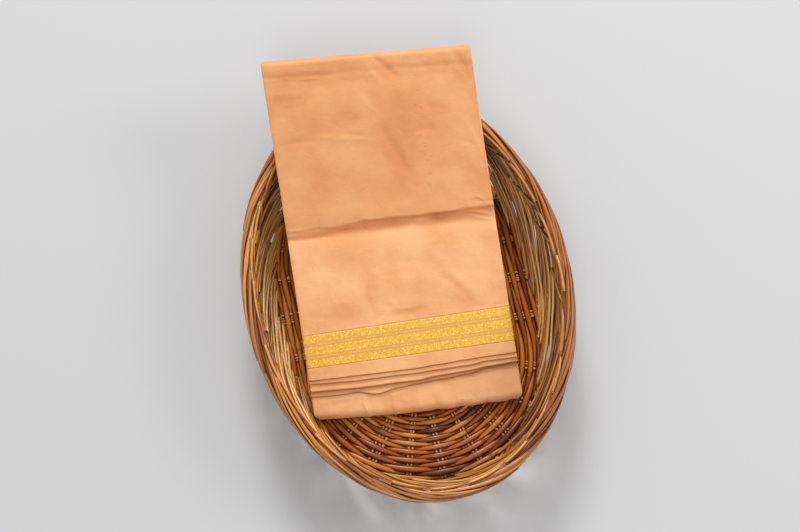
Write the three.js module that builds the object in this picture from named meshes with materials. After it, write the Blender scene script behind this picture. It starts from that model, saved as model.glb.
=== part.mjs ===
// A folded silk sari that leans in an oval wicker basket.
//
// Units are millimetres and +Z is up. The basket's long axis is Y, and it stands on z = 0.
// The sari is folded like a shop's pack: its length goes to and fro in 25 panels as wide as the
// pack, and its width is folded in three. The pack's lower end rests on the basket's base and its
// upper half lies over the far rim.

import * as THREE from "three";

// ---- driving dimensions: the sari pack ----
const PACK_WIDTH = 222; // across, one panel of the folded length
const PACK_RUN = 364; // along, measured in plan from the bottom fold to the top fold
const PACK_THICKNESS = 21;
const PACK_CORNER = [-124.4, -102.0]; // plan place of the lower left corner, in the basket
const PACK_LEAN = 3.9; // degrees that the pack's sides turn from +Y towards +X
const FOLD_LEAN = 6.6; // degrees that its end folds turn from +X towards -Y
const LIFT = 6.45; // height of its underside at the lower right corner
const LOWER_SLOPE = 0.2645; // rise for each mm of run, below the cross crease
const UPPER_SLOPE = 0.336; // and above it
const CREASE_RUN = 175; // where the pack bends
const CREASE_BLEND = 12; // run over which it bends
// the left side lies higher than the right: its lower corner is on the foot of the basket's wall,
// and it crosses the rim where the rim has turned further in
const LEFT_LIFT = { foot: 5.7, head: 8.6 };
const CORNER_RADIUS = 4; // rounding of the pack's corners in plan
const BOTTOM_BULGE = 2.6; // the bottom fold bows out this far at its middle
const BULGE_REACH = 40; // run over which the bow dies out

// ---- driving dimensions: the cloth and its layers ----
const CLOTH = 1.2; // wall of a panel, which stands for the layers that show as one
const LEAF = 1.1; // wall of one free edge
const GAP = 0.35; // between pieces that touch
const LOWER_TOP = 14.6; // height of the lower panel over the pack's underside
const TURN_BACK = 5.5; // height of the top fold's underside: one third of the layers ends before it
const BACK_END = 28; // run from the top fold to the back panel's free edge
const LEAF_ROOT = 97; // where the free edges go in between the layers
const RAMP = [99, 112]; // the core rises here from the free edges' level to the front panel's
const SIDE_ROUND = 3; // the underside's side edges are rounded this much
const ACROSS_STEPS = 20; // steps of the front stretches across the pack
const CORE_LEAVES = 6; // layers that show as ridges along each side of the core
const CORE_RIDGE = 0.9; // depth of the grooves between them
const CORE_COLUMNS = [0.1, 0.2, 0.3, 0.4, 0.5, 0.6, 0.7, 0.8, 0.9]; // points across its faces

// free ends of the front stretch: run from the bottom fold at five places across the pack
const FREE_EDGES = [
  { across: 0.0, first: 39.0, second: 35.4, third: 27.6, fourth: 22.1 },
  { across: 0.12, first: 39.3, second: 34.9, third: 27.6, fourth: 22.1 },
  { across: 0.22, first: 39.7, second: 34.5, third: 27.4, fourth: 23.3 },
  { across: 0.31, first: 39.9, second: 35.2, third: 28.0, fourth: 19.8 },
  { across: 0.42, first: 40.3, second: 35.9, third: 28.9, fourth: 23.9 },
  { across: 0.5, first: 40.6, second: 35.9, third: 28.9, fourth: 25.4 },
  { across: 0.62, first: 42.4, second: 37.2, third: 31.5, fourth: 27.5 },
  { across: 0.75, first: 44.2, second: 38.2, third: 33.0, fourth: 29.6 },
  { across: 0.87, first: 45.7, second: 40.9, third: 35.6, fourth: 33.5 },
  { across: 1.0, first: 46.4, second: 41.3, third: 37.2, fourth: 36.2 },
];
// the gold border's edges: run from the bottom fold at the left and right side
const BORDER_FOOT = { left: 51.3, right: 58.6 };
const BORDER_HEAD = { left: 84.4, right: 94.3 };

// soft relief of the pack's face: troughs have a height below 0, swells above it
const RELIEF = [
  { height: -1.6, across: 0.45, run: 186, acrossReach: 2.0, runReach: 6 },
  { height: 0.9, across: 0.5, run: 204, acrossReach: 1.2, runReach: 9 },
  { height: 0.8, across: 0.45, run: 166, acrossReach: 1.2, runReach: 12 },
  { height: -0.9, across: 0.5, run: 336, acrossReach: 1.4, runReach: 7 },
  { height: -1.0, across: 0.58, run: 252, acrossReach: 0.07, runReach: 26 },
  { height: 0.7, across: 0.25, run: 268, acrossReach: 0.2, runReach: 36 },
  { height: 0.6, across: 0.8, run: 280, acrossReach: 0.14, runReach: 30 },
  { height: 0.6, across: 0.35, run: 126, acrossReach: 0.25, runReach: 26 },
  { height: -0.6, across: 0.93, run: 112, acrossReach: 0.05, runReach: 18 },
];

// ---- driving dimensions: the basket ----
const BASE_HALF = [138, 195]; // inner foot of the wall, half width and half length
const BASE_SQUARENESS = 2.2; // exponent of the base's outline, 2 is an ellipse
const BASE_THICKNESS = 8;
const BASE_BORDER = 8; // the base reaches this far under the wall
const WALL_THICKNESS = 8;
const WALL_SWELL = 2.5; // outward curve of the wall at half height
const RIM_HALF = [171.8, 228.7]; // outer edge of the rim
const RIM_WIDTH = 15;
const RIM_HEIGHT = 14;
const BASKET_HEIGHT = 90;
const ROUND_STEPS = 64;

// ---- colours ----
const silk = { color: 0xe9ab78, roughness: 0.45, metalness: 0.0 };
const silkInner = { color: 0xd99a68, roughness: 0.55, metalness: 0.0 };
const gold = { color: 0xd9a82e, roughness: 0.38, metalness: 0.6 };
const wicker = { color: 0xa86a34, roughness: 0.5, metalness: 0.0 };
const wickerLight = { color: 0xc98c4c, roughness: 0.45, metalness: 0.0 };

const radians = THREE.MathUtils.degToRad;
const lerp = THREE.MathUtils.lerp;
const clamp = THREE.MathUtils.clamp;

// ---- closed solids from rings of points ----

// Joins rings that have the same number of points into one closed body. The rings' two ends are
// closed by the faces in `capFaces`, triples of places in a ring, or, when `loop` is true, the
// last ring joins the first.
function solidFromRings(rings, capFaces, loop = false) {
  const size = rings[0].length;
  const positions = rings.flat().flatMap((point) => [point.x, point.y, point.z]);
  const faces = [];
  const spans = loop ? rings.length : rings.length - 1;
  for (let i = 0; i < spans; i += 1) {
    const next = (i + 1) % rings.length;
    for (let j = 0; j < size; j += 1) {
      const k = (j + 1) % size;
      faces.push(i * size + j, next * size + j, next * size + k);
      faces.push(i * size + j, next * size + k, i * size + k);
    }
  }
  if (!loop) {
    const last = (rings.length - 1) * size;
    for (const [a, b, c] of capFaces) {
      faces.push(a, b, c);
      faces.push(last + a, last + c, last + b);
    }
  }
  const geometry = new THREE.BufferGeometry();
  geometry.setAttribute("position", new THREE.Float32BufferAttribute(positions, 3));
  geometry.setIndex(faces);
  if (signedVolume(geometry) < 0) {
    const index = geometry.getIndex();
    for (let i = 0; i < index.count; i += 3) {
      const second = index.getX(i + 1);
      index.setX(i + 1, index.getX(i + 2));
      index.setX(i + 2, second);
    }
  }
  geometry.computeVertexNormals();
  return geometry;
}

function signedVolume(geometry) {
  const position = geometry.getAttribute("position");
  const index = geometry.getIndex();
  const corner = [new THREE.Vector3(), new THREE.Vector3(), new THREE.Vector3()];
  let volume = 0;
  for (let i = 0; i < index.count; i += 3) {
    corner.forEach((point, j) => point.fromBufferAttribute(position, index.getX(i + j)));
    volume += corner[0].dot(corner[1].clone().cross(corner[2])) / 6;
  }
  return volume;
}

// A band's ring holds `count` outer points and then the inner points in reverse, so its end is
// closed by a strip between the two rows.
function stripCap(count) {
  const faces = [];
  for (let j = 0; j < count - 1; j += 1) {
    const inner = 2 * count - 1 - j;
    faces.push([j, j + 1, inner - 1]);
    faces.push([j, inner - 1, inner]);
  }
  return faces;
}

// ---- the pack's own frame ----
// across runs 0 to 1 from the left side to the right, run is the plan distance from the bottom
// fold, and height is measured from the underside along its normal.

const foldDirection = new THREE.Vector2(Math.cos(radians(FOLD_LEAN)), -Math.sin(radians(FOLD_LEAN)));
const sideDirection = new THREE.Vector2(Math.sin(radians(PACK_LEAN)), Math.cos(radians(PACK_LEAN)));

function undersideHeight(across, run) {
  const bend = CREASE_BLEND * Math.log1p(Math.exp((run - CREASE_RUN) / CREASE_BLEND));
  const tilt = lerp(LEFT_LIFT.foot, LEFT_LIFT.head, run / PACK_RUN) * (1 - across);
  return LIFT + LOWER_SLOPE * run + (UPPER_SLOPE - LOWER_SLOPE) * bend + tilt;
}

function undersidePoint(across, run) {
  const x = PACK_CORNER[0] + foldDirection.x * across * PACK_WIDTH + sideDirection.x * run;
  const y = PACK_CORNER[1] + foldDirection.y * across * PACK_WIDTH + sideDirection.y * run;
  return new THREE.Vector3(x, y, undersideHeight(across, run));
}

function undersideNormal(across, run) {
  const step = 0.001;
  const alongFold = undersidePoint(across + step, run).sub(undersidePoint(across - step, run));
  const alongSide = undersidePoint(across, run + step).sub(undersidePoint(across, run - step));
  return alongFold.cross(alongSide).normalize();
}

function relief(across, run) {
  let height = 0;
  for (const fold of RELIEF) {
    const u = (across - fold.across) / fold.acrossReach;
    const v = (run - fold.run) / fold.runReach;
    height += fold.height * Math.exp(-u * u - v * v);
  }
  return height;
}

// the corners of the pack are rounded in plan, so its sides draw in near the end folds
function cornerInset(run) {
  const toEnd = Math.min(run, PACK_RUN - run);
  const depth = clamp(CORNER_RADIUS - toEnd, 0, CORNER_RADIUS);
  return CORNER_RADIUS - Math.sqrt(CORNER_RADIUS ** 2 - depth ** 2);
}

function packPoint(across, run, height) {
  const inset = cornerInset(run) / PACK_WIDTH;
  const place = lerp(inset, 1 - inset, across);
  const bow = BOTTOM_BULGE * Math.sin(Math.PI * across) * Math.max(0, 1 - run / BULGE_REACH);
  const lifted = height + relief(place, run) * (height / PACK_THICKNESS);
  return undersidePoint(place, run - bow).addScaledVector(undersideNormal(place, run), lifted);
}

// ---- heights of the layers over the underside ----

const FRONT_LOW = LOWER_TOP + 3 * (GAP + LEAF) + GAP; // inner face of the front stretch at its free end
const FRONT_HIGH = PACK_THICKNESS - CLOTH; // and over the core
const CORE_FULL = FRONT_HIGH - GAP - 0.1;

function frontInner(run) {
  return lerp(FRONT_LOW, FRONT_HIGH, THREE.MathUtils.smoothstep(run, RAMP[0] - 6, RAMP[1] + 8));
}

function freeEdge(column, across) {
  const above = FREE_EDGES.findIndex((row) => row.across >= across);
  const high = FREE_EDGES[Math.max(above, 1)];
  const low = FREE_EDGES[Math.max(above, 1) - 1];
  const share = (across - low.across) / (high.across - low.across);
  return lerp(low[column], high[column], THREE.MathUtils.smoothstep(share, 0, 1));
}

// ---- walls of cloth swept across the pack ----

// `path(across)` gives pairs of outer and inner places, each [run, height]
function clothWall(path, steps, from = 0, to = 1) {
  const rings = [];
  let count = 0;
  for (let i = 0; i <= steps; i += 1) {
    const across = lerp(from, to, i / steps);
    const pairs = path(across);
    count = pairs.length;
    const outer = pairs.map(([place]) => packPoint(across, ...place));
    const inner = pairs.map(([, place]) => packPoint(across, ...place)).reverse();
    rings.push([...outer, ...inner]);
  }
  return solidFromRings(rings, stripCap(count));
}

// places on an arc round an end fold, from `start` to `end` degrees, in run and height
function foldArc(centreRun, centreHeight, outer, start, end, steps) {
  const pairs = [];
  for (let i = 0; i <= steps; i += 1) {
    const angle = radians(lerp(start, end, i / steps));
    const along = Math.cos(angle);
    const up = Math.sin(angle);
    const inner = outer - CLOTH;
    pairs.push([
      [centreRun + outer * along, centreHeight + outer * up],
      [centreRun + inner * along, centreHeight + inner * up],
    ]);
  }
  return pairs;
}

const TOP_RADIUS = (PACK_THICKNESS - TURN_BACK) / 2;
const TOP_CENTRE = { run: PACK_RUN - TOP_RADIUS, height: PACK_THICKNESS - TOP_RADIUS };
const BOTTOM_RADIUS = LOWER_TOP / 2;
const BOTTOM_CENTRE = { run: BOTTOM_RADIUS, height: BOTTOM_RADIUS };

function flatPairs(fromRun, toRun, steps, innerHeight, wall) {
  const pairs = [];
  for (let i = 0; i <= steps; i += 1) {
    const run = lerp(fromRun, toRun, i / steps);
    pairs.push([[run, innerHeight(run) + wall], [run, innerHeight(run)]]);
  }
  return pairs;
}

function borderHead(across) {
  return lerp(BORDER_HEAD.left, BORDER_HEAD.right, across);
}

function borderFoot(across) {
  return lerp(BORDER_FOOT.left, BORDER_FOOT.right, across);
}

// runs at which the front panel and the core share their points, closest at the cross crease
const FACE_RUNS = [
  112, 122, 134, 146, 158, 168, 176, 181, 186, 191, 197, 205, 216, 230, 246, 264, 284, 304, 322, 330,
  338, 346,
];

function frontPanel() {
  const turnEnd = PACK_RUN - BACK_END - GAP;
  return clothWall((across) => {
    const start = borderHead(across) + GAP / 2;
    return [
      ...flatPairs(start, 105, 1, frontInner, CLOTH),
      ...FACE_RUNS.map((run) => [[run, frontInner(run) + CLOTH], [run, frontInner(run)]]),
      ...foldArc(TOP_CENTRE.run, TOP_CENTRE.height, TOP_RADIUS, 90, -90, 6),
      [[turnEnd, TURN_BACK], [turnEnd, TURN_BACK + CLOTH]],
    ];
  }, ACROSS_STEPS);
}

function zariBorder() {
  return clothWall((across) => {
    const start = borderFoot(across) + GAP / 2;
    return flatPairs(start, borderHead(across) - GAP / 2, 3, frontInner, CLOTH);
  }, ACROSS_STEPS);
}

function selvedgeStrip() {
  return clothWall((across) => {
    const start = freeEdge("first", across);
    return flatPairs(start, borderFoot(across) - GAP / 2, 2, frontInner, CLOTH);
  }, ACROSS_STEPS);
}

function freeLayer(column, number) {
  const base = LOWER_TOP + GAP + (4 - number) * (LEAF + GAP);
  return clothWall((across) => {
    return flatPairs(freeEdge(column, across), LEAF_ROOT, 2, () => base, LEAF);
  }, ACROSS_STEPS);
}

const LOWER_END = 58; // the lower panel goes in under the free edges up to here
const SEAM_RUN = 24; // its seam with the back panel, on the underside

function lowerPanel() {
  const level = LOWER_TOP - CLOTH;
  return clothWall(() => {
    return [
      [[SEAM_RUN, 0], [SEAM_RUN, CLOTH]],
      ...foldArc(BOTTOM_CENTRE.run, BOTTOM_CENTRE.height, BOTTOM_RADIUS, 270, 90, 6),
      ...flatPairs(16, LOWER_END, 3, () => level, CLOTH),
    ];
  }, 10);
}

const BACK_STEPS = 12;

function backPanel() {
  const side = SIDE_ROUND / PACK_WIDTH;
  return clothWall(() => {
    const pairs = [];
    for (let i = 0; i <= BACK_STEPS; i += 1) {
      const run = lerp(SEAM_RUN + GAP, PACK_RUN - BACK_END, i / BACK_STEPS);
      pairs.push([[run, CLOTH], [run, 0]]);
    }
    return pairs;
  }, 6, side, 1 - side);
}

// ---- the hidden layers ----

function coreSpan(run) {
  const radius = BOTTOM_RADIUS - CLOTH - GAP;
  if (run < BOTTOM_CENTRE.run) {
    const half = Math.sqrt(Math.max(radius ** 2 - (BOTTOM_CENTRE.run - run) ** 2, 0));
    return [BOTTOM_CENTRE.height - half, BOTTOM_CENTRE.height + half];
  }
  const topRadius = TOP_RADIUS - CLOTH - GAP;
  if (run > TOP_CENTRE.run) {
    const half = Math.sqrt(Math.max(topRadius ** 2 - (run - TOP_CENTRE.run) ** 2, 0));
    return [TOP_CENTRE.height - half, TOP_CENTRE.height + half];
  }
  const under = run > PACK_RUN - BACK_END - GAP - 1.5 ? TURN_BACK + CLOTH + GAP : CLOTH + GAP;
  if (run <= LOWER_END + GAP) {
    return [under, LOWER_TOP - CLOTH - GAP];
  }
  const full = Math.min(CORE_FULL, frontInner(run) - GAP);
  const share = clamp((run - RAMP[0]) / (RAMP[1] - RAMP[0]), 0, 1);
  return [under, lerp(LOWER_TOP, full, share)];
}

function coreRing(run) {
  const [low, high] = coreSpan(run);
  const left = [];
  const right = [];
  for (let i = 0; i <= 2 * CORE_LEAVES; i += 1) {
    const share = i / (2 * CORE_LEAVES);
    const height = lerp(low, high, share);
    const groove = i % 2 === 0 ? CORE_RIDGE : 0;
    const under = SIDE_ROUND * clamp(1 - height / 6, 0, 1) ** 2;
    const inset = (0.6 + groove + under) / PACK_WIDTH;
    left.push(packPoint(inset, run, height));
    right.push(packPoint(1 - inset, run, height));
  }
  const top = CORE_COLUMNS.map((across) => packPoint(across, run, high));
  const bottom = CORE_COLUMNS.map((across) => packPoint(across, run, low));
  return [...left, ...top, ...right.reverse(), ...bottom.reverse()];
}

function coreCap() {
  const side = 2 * CORE_LEAVES + 1;
  const columns = CORE_COLUMNS.length;
  const rightTop = side + columns;
  const lastFoot = rightTop + side;
  const firstFoot = lastFoot + columns - 1;
  const faces = [];
  for (let i = 0; i < side; i += 1) {
    faces.push([i, i + 1, firstFoot]);
    faces.push([rightTop - 1 + i, rightTop + i, lastFoot]);
  }
  for (let i = 0; i < columns - 1; i += 1) {
    const top = side + i;
    const foot = firstFoot - i;
    faces.push([top, top + 1, foot - 1]);
    faces.push([top, foot - 1, foot]);
  }
  return faces;
}

function core() {
  const inset = CLOTH + GAP + 0.05;
  const backStep = PACK_RUN - BACK_END - GAP - 1.5;
  const runs = [
    inset + 0.25, inset + 1.2, inset + 3, BOTTOM_CENTRE.run, 24, LOWER_END + GAP,
    LOWER_END + GAP + 0.4, RAMP[0], 105,
    ...FACE_RUNS.filter((run) => run < backStep), backStep, backStep + 0.4,
    ...FACE_RUNS.filter((run) => run > backStep + 0.4),
    TOP_CENTRE.run, TOP_CENTRE.run + 3.5, TOP_CENTRE.run + 5.3, TOP_CENTRE.run + 6.1,
  ];
  return solidFromRings(runs.map(coreRing), coreCap());
}

// ---- the basket ----

// one ring of an oval outline: half sizes, squareness and height
function ovalRing(halfWidth, halfLength, squareness, z) {
  const ring = [];
  for (let i = 0; i < ROUND_STEPS; i += 1) {
    const angle = (2 * Math.PI * i) / ROUND_STEPS;
    const c = Math.cos(angle);
    const s = Math.sin(angle);
    const x = halfWidth * Math.sign(c) * Math.abs(c) ** (2 / squareness);
    const y = halfLength * Math.sign(s) * Math.abs(s) ** (2 / squareness);
    ring.push(new THREE.Vector3(x, y, z));
  }
  return ring;
}

// places round the oval become the rings, so that the section is swept round the basket
function sweepRound(levels) {
  const rows = levels.map((level) => ovalRing(...level));
  const rings = [];
  for (let i = 0; i < ROUND_STEPS; i += 1) {
    rings.push(rows.map((row) => row[i]));
  }
  return solidFromRings(rings, [], true);
}

const WALL_FOOT = BASE_THICKNESS + GAP;
const WALL_HEAD = BASKET_HEIGHT - RIM_HEIGHT - GAP;
const RIM_INNER = RIM_HALF.map((half) => half - RIM_WIDTH);

function wallLevel(share, outward) {
  const swell = WALL_SWELL * Math.sin(Math.PI * share);
  const headHalf = RIM_INNER.map((half) => half + 2);
  return [
    lerp(BASE_HALF[0], headHalf[0], share) + swell + outward,
    lerp(BASE_HALF[1], headHalf[1], share) + swell + outward,
    lerp(BASE_SQUARENESS, 2, share),
    lerp(WALL_FOOT, WALL_HEAD, share),
  ];
}

function basketWall() {
  const shares = [0, 0.35, 0.7, 1];
  const inner = shares.map((share) => wallLevel(share, 0));
  const outer = shares.map((share) => wallLevel(share, WALL_THICKNESS));
  return sweepRound([...inner, ...outer.reverse()]);
}

function basketRim() {
  const levels = [];
  const sides = 8;
  for (let i = 0; i < sides; i += 1) {
    const angle = (2 * Math.PI * i) / sides;
    const radial = (Math.cos(angle) * RIM_WIDTH) / 2 - RIM_WIDTH / 2;
    const z = BASKET_HEIGHT - RIM_HEIGHT / 2 + (Math.sin(angle) * RIM_HEIGHT) / 2;
    levels.push([RIM_HALF[0] + radial, RIM_HALF[1] + radial, 2, z]);
  }
  return sweepRound(levels);
}

function basketBase() {
  const half = BASE_HALF.map((side) => side + BASE_BORDER);
  const bevel = 2;
  const rings = [
    ovalRing(half[0] - bevel, half[1] - bevel, BASE_SQUARENESS, 0),
    ovalRing(half[0], half[1], BASE_SQUARENESS, bevel),
    ovalRing(half[0], half[1], BASE_SQUARENESS, BASE_THICKNESS - bevel),
    ovalRing(half[0] - bevel, half[1] - bevel, BASE_SQUARENESS, BASE_THICKNESS),
  ];
  const fan = [];
  for (let i = 1; i < ROUND_STEPS - 1; i += 1) {
    fan.push([0, i, i + 1]);
  }
  return solidFromRings(rings, fan);
}

// ---- the scene graph ----

function piece(name, geometry, look) {
  const mesh = new THREE.Mesh(geometry, new THREE.MeshStandardMaterial(look));
  mesh.name = name;
  return mesh;
}

const basket = new THREE.Group();
basket.add(piece("basket_base", basketBase(), wicker));
basket.add(piece("basket_wall", basketWall(), wicker));
basket.add(piece("basket_rim", basketRim(), wickerLight));

const sari = new THREE.Group();
sari.add(piece("sari_core", core(), silkInner));
sari.add(piece("sari_front_panel", frontPanel(), silk));
sari.add(piece("zari_border", zariBorder(), gold));
sari.add(piece("selvedge_strip", selvedgeStrip(), silk));
sari.add(piece("sari_layer_2", freeLayer("second", 2), silk));
sari.add(piece("sari_layer_3", freeLayer("third", 3), silkInner));
sari.add(piece("sari_layer_4", freeLayer("fourth", 4), silk));
sari.add(piece("sari_lower_panel", lowerPanel(), silk));
sari.add(piece("sari_back_panel", backPanel(), silkInner));

const object = new THREE.Group();
object.add(basket, sari);

// the origin is the middle of the bounding box, at the height of the base's underside
const box = new THREE.Box3().setFromObject(object, true);
const middle = box.getCenter(new THREE.Vector3());
object.position.set(-middle.x, -middle.y, -box.min.z);
object.updateMatrixWorld(true);

export default object;
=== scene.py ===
# A folded silk sari that leans in an oval wicker basket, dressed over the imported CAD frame.
#
# Sizes are in millimetres until a mesh is made. The pack's own coordinates are across (0 to 1
# from its left side to its right), run (plan distance from the bottom fold) and height (over
# its underside, along the normal).
import math

import bmesh
import bpy
import numpy as np
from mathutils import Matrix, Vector


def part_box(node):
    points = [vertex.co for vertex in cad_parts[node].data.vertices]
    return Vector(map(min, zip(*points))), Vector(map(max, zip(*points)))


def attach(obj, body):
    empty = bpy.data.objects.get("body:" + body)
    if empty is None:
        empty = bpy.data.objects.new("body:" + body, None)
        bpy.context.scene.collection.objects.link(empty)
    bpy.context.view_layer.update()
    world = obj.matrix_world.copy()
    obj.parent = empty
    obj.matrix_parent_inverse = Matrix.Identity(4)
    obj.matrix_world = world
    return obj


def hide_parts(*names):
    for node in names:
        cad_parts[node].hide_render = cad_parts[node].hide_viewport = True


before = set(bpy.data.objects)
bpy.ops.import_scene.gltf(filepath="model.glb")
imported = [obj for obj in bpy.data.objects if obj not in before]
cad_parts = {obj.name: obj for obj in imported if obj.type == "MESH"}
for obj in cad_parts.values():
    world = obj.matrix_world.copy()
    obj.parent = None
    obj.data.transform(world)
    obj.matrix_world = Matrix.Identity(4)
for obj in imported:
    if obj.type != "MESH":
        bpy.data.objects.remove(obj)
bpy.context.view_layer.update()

MM = 0.001
rng = np.random.default_rng(7)

# ---- the sari pack, as in the CAD model ----
PACK_WIDTH = 222.0
PACK_RUN = 364.0
PACK_THICKNESS = 21.0
PACK_CORNER = (-124.4, -102.0)
PACK_LEAN = math.radians(3.9)
FOLD_LEAN = math.radians(6.6)
LIFT = 6.45
LOWER_SLOPE = 0.2645
UPPER_SLOPE = 0.336
CREASE_RUN = 175.0
CREASE_BLEND = 12.0
LEFT_LIFT_FOOT = 5.7
LEFT_LIFT_HEAD = 8.6
CORNER_RADIUS = 4.0
BOTTOM_BULGE = 2.6
BULGE_REACH = 40.0

CLOTH = 1.2
LEAF = 1.1
GAP = 0.35
LOWER_TOP = 14.6
TURN_BACK = 5.5
BACK_END = 28.0
LEAF_ROOT = 97.0
SEAM_RUN = 24.0
LOWER_END = 58.0
SIDE_ROUND = 3.0
FRONT_LOW = LOWER_TOP + 3 * (GAP + LEAF) + GAP
FRONT_HIGH = PACK_THICKNESS - CLOTH
TOP_RADIUS = (PACK_THICKNESS - TURN_BACK) / 2
TOP_CENTRE = (PACK_RUN - TOP_RADIUS, PACK_THICKNESS - TOP_RADIUS)
BOTTOM_RADIUS = LOWER_TOP / 2

# free ends of the front stretch: run from the bottom fold at places across the pack
FREE_ACROSS = (0.0, 0.12, 0.22, 0.31, 0.42, 0.5, 0.62, 0.75, 0.87, 1.0)
FREE_EDGES = {
    "first": (39.0, 39.3, 39.7, 39.9, 40.3, 40.6, 42.4, 44.2, 45.7, 46.4),
    "second": (35.4, 34.9, 34.5, 35.2, 35.9, 35.9, 37.2, 38.2, 40.9, 41.3),
    "third": (27.6, 27.6, 27.4, 28.0, 28.9, 28.9, 31.5, 33.0, 35.6, 37.2),
    "fourth": (22.1, 22.1, 23.3, 19.8, 23.9, 25.4, 27.5, 29.6, 33.5, 36.2),
}
BORDER_FOOT = (51.3, 58.6)
BORDER_HEAD = (84.4, 94.3)

# broad relief: height, across, run, reach across, reach along
RELIEF = (
    (-1.6, 0.45, 186, 2.0, 6), (0.9, 0.5, 204, 1.2, 9), (0.8, 0.45, 166, 1.2, 12),
    (-0.9, 0.5, 336, 1.4, 7), (-1.0, 0.58, 252, 0.07, 26), (0.7, 0.25, 268, 0.2, 36),
    (0.6, 0.8, 280, 0.14, 30), (0.6, 0.35, 126, 0.25, 26), (-0.6, 0.93, 112, 0.05, 18),
)

# soft creases on the front stretch, in mm: from x, run to x, run, depth (below 0) or
# height, and half width
CREASES = (
    # the cross crease of the earlier half fold, in stretches, and its pinched ends
    (-4, 188, 44, 188, 0.6, 2.4), (-4, 184, 50, 184, -0.7, 1.8), (40, 186, 84, 190, -0.5, 3.4),
    (136, 193, 150, 190, 0.5, 3.0), (195, 196, 217, 191, 0.9, 1.3), (205, 212, 220, 199, 1.0, 1.6),
    (200, 207, 222, 203, -0.9, 2.2), (197, 190, 222, 185, 0.8, 1.4), (2, 192, 24, 192, 0.7, 1.6),
    # under the top fold
    (-4, 347, 70, 345, -0.9, 2.6), (60, 346, 130, 346, -0.5, 3.5), (125, 346, 225, 344, -0.9, 3.4),
    (6, 341, 60, 340, -0.45, 1.6), (118, 360, 140, 336, -1.3, 3.0), (110, 352, 122, 330, 0.9, 3.4),
    (206, 360, 216, 326, -0.9, 3.0), (198, 357, 206, 335, 0.6, 3.0),
    # the upper half
    (2, 323, 52, 323, -0.55, 4.0), (5, 279, 42, 281, -0.6, 3.2), (46, 284, 104, 276, 0.5, 2.2),
    (50, 289, 100, 282, -0.35, 3.0), (82, 310, 92, 290, -0.9, 6.0), (98, 322, 110, 304, 0.7, 3.2),
    (100, 335, 96, 318, 0.5, 3.0), (152, 283, 172, 282, -0.7, 4.5), (167, 308, 186, 298, -0.6, 5.0),
    (116, 288, 138, 236, -0.9, 4.2), (124, 292, 146, 242, 0.5, 4.5), (205, 290, 219, 246, 0.6, 2.6),
    (196, 268, 214, 262, -0.5, 2.6), (186, 280, 190, 240, -0.35, 4.0),
    (30, 250, 66, 236, -0.4, 7.0), (150, 232, 210, 228, 0.4, 6.0),
    # the lower half
    (43, 117, 53, 97, -0.6, 4.2), (71, 128, 79, 100, -0.7, 3.2), (76, 92, 90, 100, -0.5, 3.0),
    (96, 96, 134, 101, -0.8, 3.6), (156, 134, 184, 102, -0.8, 3.8), (162, 138, 190, 108, 0.5, 4.0),
    (176, 98, 222, 98, -0.35, 1.8), (142, 156, 156, 139, -0.4, 4.0), (86, 146, 92, 120, 0.4, 5.0),
    (8, 104, 34, 100, -0.4, 4.5), (96, 112, 104, 104, 0.5, 3.2),
)
# sharp steps up the cloth on the cross crease: from x, run to x, run, rise, and how far
# above it the cloth takes to level out
STEPS = (
    (0, 191.5, 50, 193.5, 0.8, 12), (0, 184.5, 52, 184.0, 0.7, 5), (78, 196.5, 160, 197.0, 1.3, 16),
    (154, 197.0, 222, 200.0, 1.5, 16),
)
# places where the silk is painted darker (below 0), as painted shade, or lighter, as painted sheen:
# x, run, half width, half length
SHEEN_PATCHES = (
    (183, 346, 14, 8, -0.8), (205, 329, 13, 6, -0.7), (18, 348, 46, 5, -0.5),
    (27, 322, 26, 6, -0.5), (81, 301, 16, 12, -0.7), (103, 315, 10, 10, 0.6),
    (202, 301, 13, 15, 0.6), (180, 303, 13, 7, -0.5), (136, 163, 22, 17, 0.5),
    (174, 113, 14, 12, -0.5), (77, 117, 9, 14, -0.4), (128, 262, 13, 26, -0.6),
    (212, 262, 9, 24, 0.6), (40, 268, 24, 12, 0.4), (60, 236, 34, 9, -0.4), (178, 228, 40, 9, 0.4),
    (30, 140, 22, 26, 0.35), (52, 106, 18, 8, -0.5), (112, 99, 22, 5, -0.5),
    (196, 150, 14, 26, 0.4),
)
# creases on the lower stretch, by the bottom fold
LOWER_CREASES = (
    (54, 20, 56, 0, 0.8, 1.8), (60, 18, 62, 0, -0.5, 2.4), (85, 18, 87, 0, 0.5, 2.0),
    (92, 16, 94, 1, -0.4, 2.6), (18, 12, 40, 14, -0.5, 3.0), (128, 12, 131, 0, -0.6, 2.2),
    (150, 10, 152, 0, -0.8, 1.8), (158, 10, 160, 0, 0.6, 1.8), (170, 10, 173, 0, -0.8, 1.7),
    (186, 12, 188, 0, -0.6, 1.8), (196, 12, 200, 0, 0.5, 2.0), (100, 22, 190, 20, -0.3, 5.0),
)

# ridges on the underside, as high outward as they are listed
UNDER_CREASES = (
    (-4, 190, 120, 192, 0.7, 2.4), (110, 193, 226, 195, 0.6, 2.8), (30, 120, 70, 90, 0.5, 4.0),
    (150, 140, 175, 96, 0.6, 3.6), (60, 300, 82, 262, 0.5, 4.2), (140, 310, 170, 290, 0.55, 3.4),
    (186, 250, 212, 238, 0.45, 4.0), (96, 60, 120, 40, 0.5, 3.8), (20, 330, 90, 326, 0.4, 3.0),
)

# ---- the basket, as in the CAD model ----
BASE_HALF = (138.0, 195.0)
BASE_SQUARENESS = 2.2
BASE_TOP = 8.0
WALL_FOOT = BASE_TOP + GAP
WALL_SWELL = 2.5
RIM_HALF = (171.8, 228.7)
RIM_WIDTH = 15.0
RIM_HEIGHT = 14.0
BASKET_HEIGHT = 90.0
WALL_HEAD = BASKET_HEIGHT - RIM_HEIGHT - GAP

# the basket's middle in the row's frame
rim_low, rim_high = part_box("basket_rim")
BASKET_CENTRE = np.array(
    [(rim_low[0] + rim_high[0]) / 2, (rim_low[1] + rim_high[1]) / 2, 0.0]
)


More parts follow.
